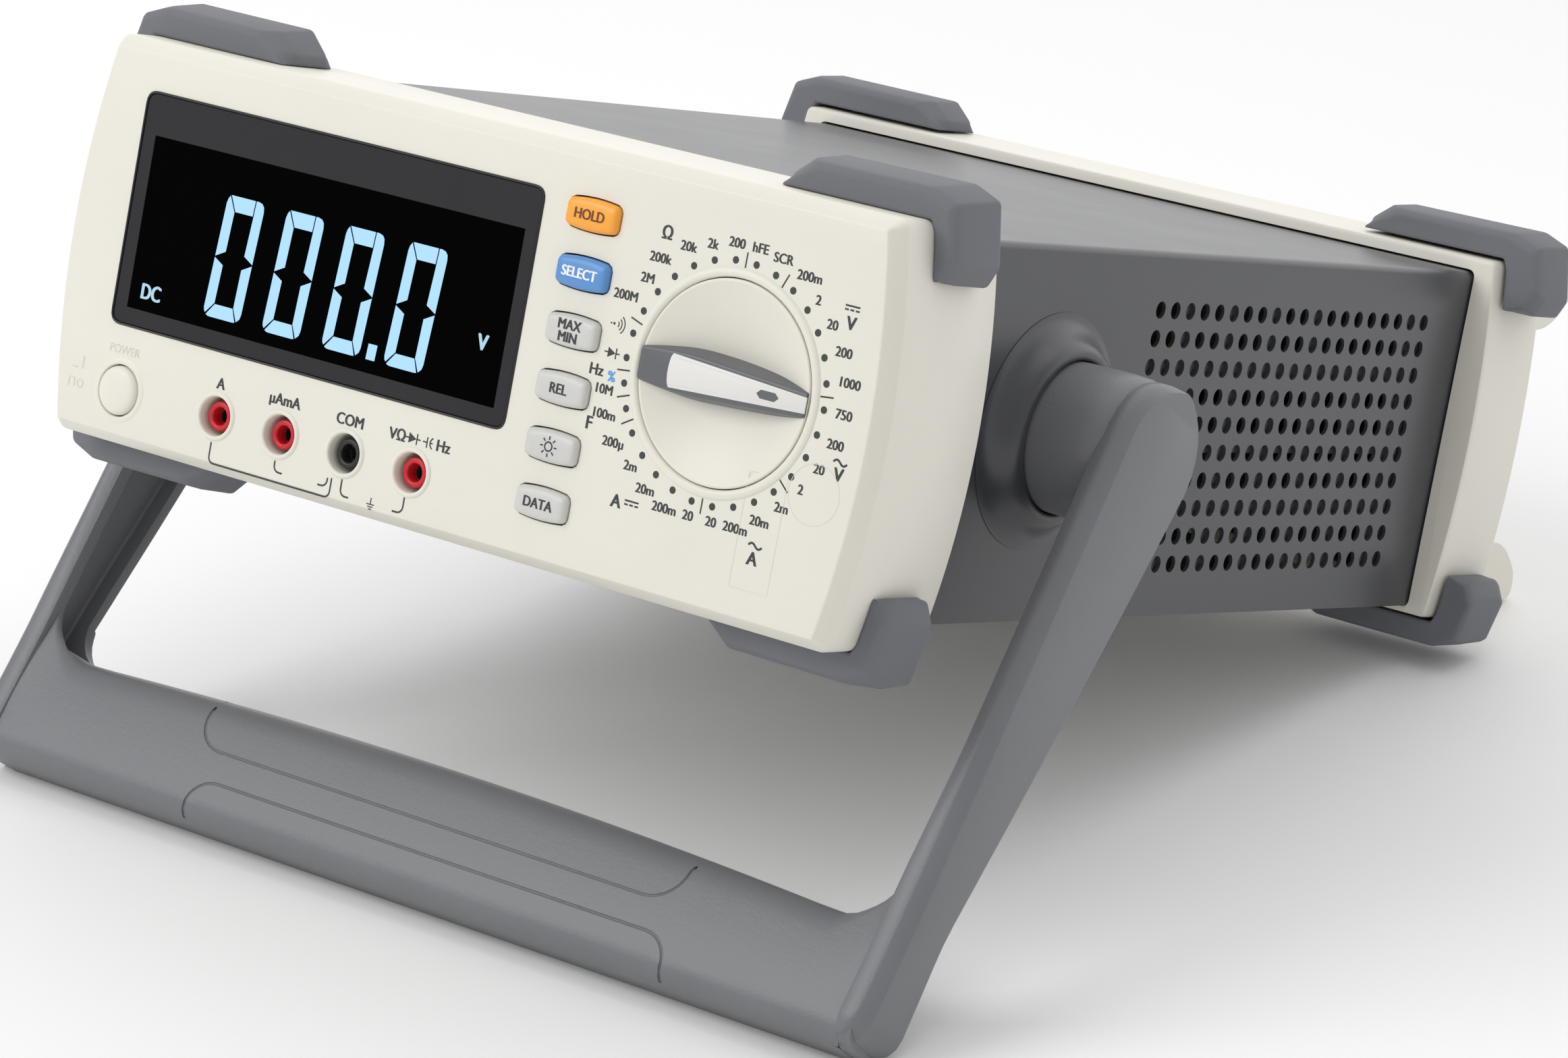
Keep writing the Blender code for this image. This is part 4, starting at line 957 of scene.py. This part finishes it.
def handle():
    """One moulding: two arms with hubs and a channel each, the bar between, and the grip's outlines."""
    sections = []
    for degrees in (86, 76, 64, 52, 40, 28, 14):
        a = math.radians(degrees)
        half = ARM_END_RADIUS * math.cos(a)
        sections.append(arm_section(-ARM_END_RADIUS * math.sin(a), half, -half, ARM_OUT))
    for d in (0, 8, 16, 24, 32, 40, 48, 56, 64, 72, 80, 86, 92, 98, 104, 109, 114, 119, 124, 130, 136):
        sections.append(arm_section(d, spline(ARM_FRONT, d), spline(ARM_REAR, d), ARM_OUT))
    for d in (FOOT_START, 143.5, 145.8, 147.6, 148.9, 149.6, FOOT_END):
        below = d - FOOT_START
        outer = max(ARM_OUT - FOOT_RADIUS + math.sqrt(max(FOOT_RADIUS**2 - below**2, 0)), FOOT_LEAST_X)
        pinch = 5.0 * (below / (FOOT_END - FOOT_START)) ** 3.5
        sections.append(arm_section(d, spline(ARM_FRONT, d) - pinch, spline(ARM_REAR, d) + pinch, outer))
    body = None
    for side in (-1, 1):
        arm = loft([[swung(side * x, d, f) for x, f, d in section] for section in sections])
        hub = [
            (0, 105.5), (17.4, 105.5), (17.4, 110.2), (17.5, 116.0), (17.5, 121.0), (17.2, 125.5),
            (16.0, 127.5), (0, 127.5),
        ]  # fmt: skip
        arm = combined(arm, turned([(r, side * d) for r, d in hub], (0, PIVOT_Y, PIVOT_Z), "X", 72), "UNION")
        body = arm if body is None else merged(body, arm)
    reaches = [129.4, 128, 126, 125, 124.6, 123.9, 122.6, 121, 119, 116.5, 113, 110, 105, 98]
    reaches += range(90, 0, -10)
    across = [-x for x in reaches] + [0] + reaches[::-1]
    bar = loft([[swung(x, d, f) for d, f in bar_section(x)] for x in across])
    body = combined(body, bar, "UNION", "MANIFOLD")
    channel = [(23, 126.5), (26, 128.6), (30, 129.4), (50, 129.4), (75, 129.4), (100, 129.4), (120.2, 129.2)]
    for side in (-1, 1):
        rings = []
        for d, deep in channel:
            high, low = spline(ARM_FRONT, d) - FLANGE, spline(ARM_REAR, d) + FLANGE
            corners = [(112, high), (deep - 0.5, high - 0.4), (deep, high - 1)]
            corners += [(deep, low + 1), (deep - 0.5, low + 0.4), (112, low)]
            rings.append([swung(side * x, d, f) for x, f in corners])
        body = combined(body, loft(rings))
    for line in grip_lines():
        body = combined(body, tube(line, 0.45))
    piece(
        body, "carry_handle", HANDLE_GREY, "handle", 30,
        replaces=("handle_bar", "handle_arm_left", "handle_arm_right"),
    )  # fmt: skip


def grip_lines():
    """Two engraved outlines on the bar's front, one open at its top edge and the other at its bottom edge."""
    lines = []
    shapes = ((BAR_TOP + 1.8, 132.8, 1, -68.3, 74.3, 8.5), (BAR_BOTTOM - 0.4, 140.3, -1, -63.0, 77.9, 7.0))
    for edge, level, way, left, right, radius in shapes:
        bend, straight = level - way * radius, right - left - 2 * radius
        path = [(left, edge), (left, bend - way * 0.8)]
        path += arc(left + radius, bend, radius, way * 180, way * 90, 7)[1:]
        path += [(left + radius + straight * i / 12, level) for i in range(1, 12)]
        path += arc(right - radius, bend, radius, way * 90, 0, 7)[:-1]
        path += [(right, bend - way * 0.8), (right + (1.5 if way > 0 else 0), edge)]
        lines.append([swung(x, d, bar_front(x, d) + 0.1) for x, d in path])
    return lines


def tube(points, radius, segments=8):
    """A round rod along points, none of which runs along the fixed direction that sets its sections."""
    rings = []
    for i, point in enumerate(points):
        ahead = (points[min(i + 1, len(points) - 1)] - points[max(i - 1, 0)]).normalized()
        side = ahead.cross(Vector((0.13, -0.83, 0.54))).normalized()
        up = ahead.cross(side)
        turns = [math.tau * k / segments for k in range(segments)]
        rings.append([point + side * (radius * math.cos(a)) + up * (radius * math.sin(a)) for a in turns])
    return loft(rings)


# Studio


def camera():
    """The viewpoint, first in the housing's frame and then turned with it."""
    lens, distance = 124.83, 1154.2
    right = Vector((0.80076, 0.57080, 0.18157))
    down = Vector((0.22637, -0.00774, -0.97401))
    ahead = Vector((-0.55456, 0.82105, -0.13541))
    target = Vector((97.8, 0, 24.1))
    turn = TURN.to_3x3()
    basis = Matrix([turn @ right, -(turn @ down), -(turn @ ahead)]).transposed()
    data = bpy.data.cameras.new("camera")
    data.lens = lens
    data.sensor_width = 36.0
    data.clip_start, data.clip_end = 0.05, 50
    made = bpy.data.objects.new("camera", data)
    bpy.context.scene.collection.objects.link(made)
    made.matrix_world = Matrix.Translation(HOUSING @ (target - ahead * distance)) @ basis.to_4x4()
    bpy.context.scene.camera = made


def area_light(name, spot, aim, size, power):
    """A rectangular lamp at spot that shines towards aim."""
    data = bpy.data.lights.new(name, "AREA")
    data.shape = "RECTANGLE"
    data.size, data.size_y = size
    data.energy = power
    made = bpy.data.objects.new(name, data)
    bpy.context.scene.collection.objects.link(made)
    made.location = spot
    made.rotation_mode = "QUATERNION"
    made.rotation_quaternion = (Vector(aim) - Vector(spot)).to_track_quat("-Z", "Y")


def studio():
    """Pale floor, a sky that is brighter behind than in front, and two soft lamps."""
    bm = bmesh.new()
    bmesh.ops.create_grid(bm, x_segments=2, y_segments=2, size=6.0)
    mesh = bpy.data.meshes.new("floor")
    bm.to_mesh(mesh)
    bm.free()
    floor = bpy.data.objects.new("floor", mesh)
    bpy.context.scene.collection.objects.link(floor)
    floor.data.materials.append(finish("pale_floor", (0.93, 0.93, 0.93), 0.9, specular=0.1, mottle=0.0))
    world = bpy.data.worlds.new("studio")
    world.use_nodes = True
    sky = world.node_tree.nodes["Background"]
    sky.inputs["Color"].default_value = (1.0, 1.0, 1.0, 1)
    nodes, links = world.node_tree.nodes, world.node_tree.links
    place = nodes.new("ShaderNodeTexCoord")
    split = nodes.new("ShaderNodeSeparateXYZ")
    links.new(place.outputs["Generated"], split.inputs["Vector"])
    behind = nodes.new("ShaderNodeMapRange")
    behind.inputs["From Min"].default_value, behind.inputs["From Max"].default_value = 0.25, 0.75
    behind.inputs["To Min"].default_value, behind.inputs["To Max"].default_value = 0.55, 1.4
    links.new(split.outputs["Y"], behind.inputs["Value"])
    links.new(behind.outputs["Result"], sky.inputs["Strength"])
    bpy.context.scene.world = world
    area_light("key", (-1.0, -1.5, 1.5), (0, 0, 0.08), (1.3, 1.3), 21.5)
    area_light("top", (0.1, 0.3, 1.9), (0, 0, 0), (1.8, 1.8), 8)
    view = bpy.context.scene.view_settings
    view.view_transform = "Standard"
    view.look = "None"
    view.exposure, view.gamma = 0.0, 1.0


camera()
studio()
front_shell()
raised_rings()
display()
display_digits()
dial_legend()
socket_legend()
power_marks()
keys()
knob()
cover()
guards()
rear_shell()
collars()
bumpers()
handle()

bpy.context.view_layer.update()
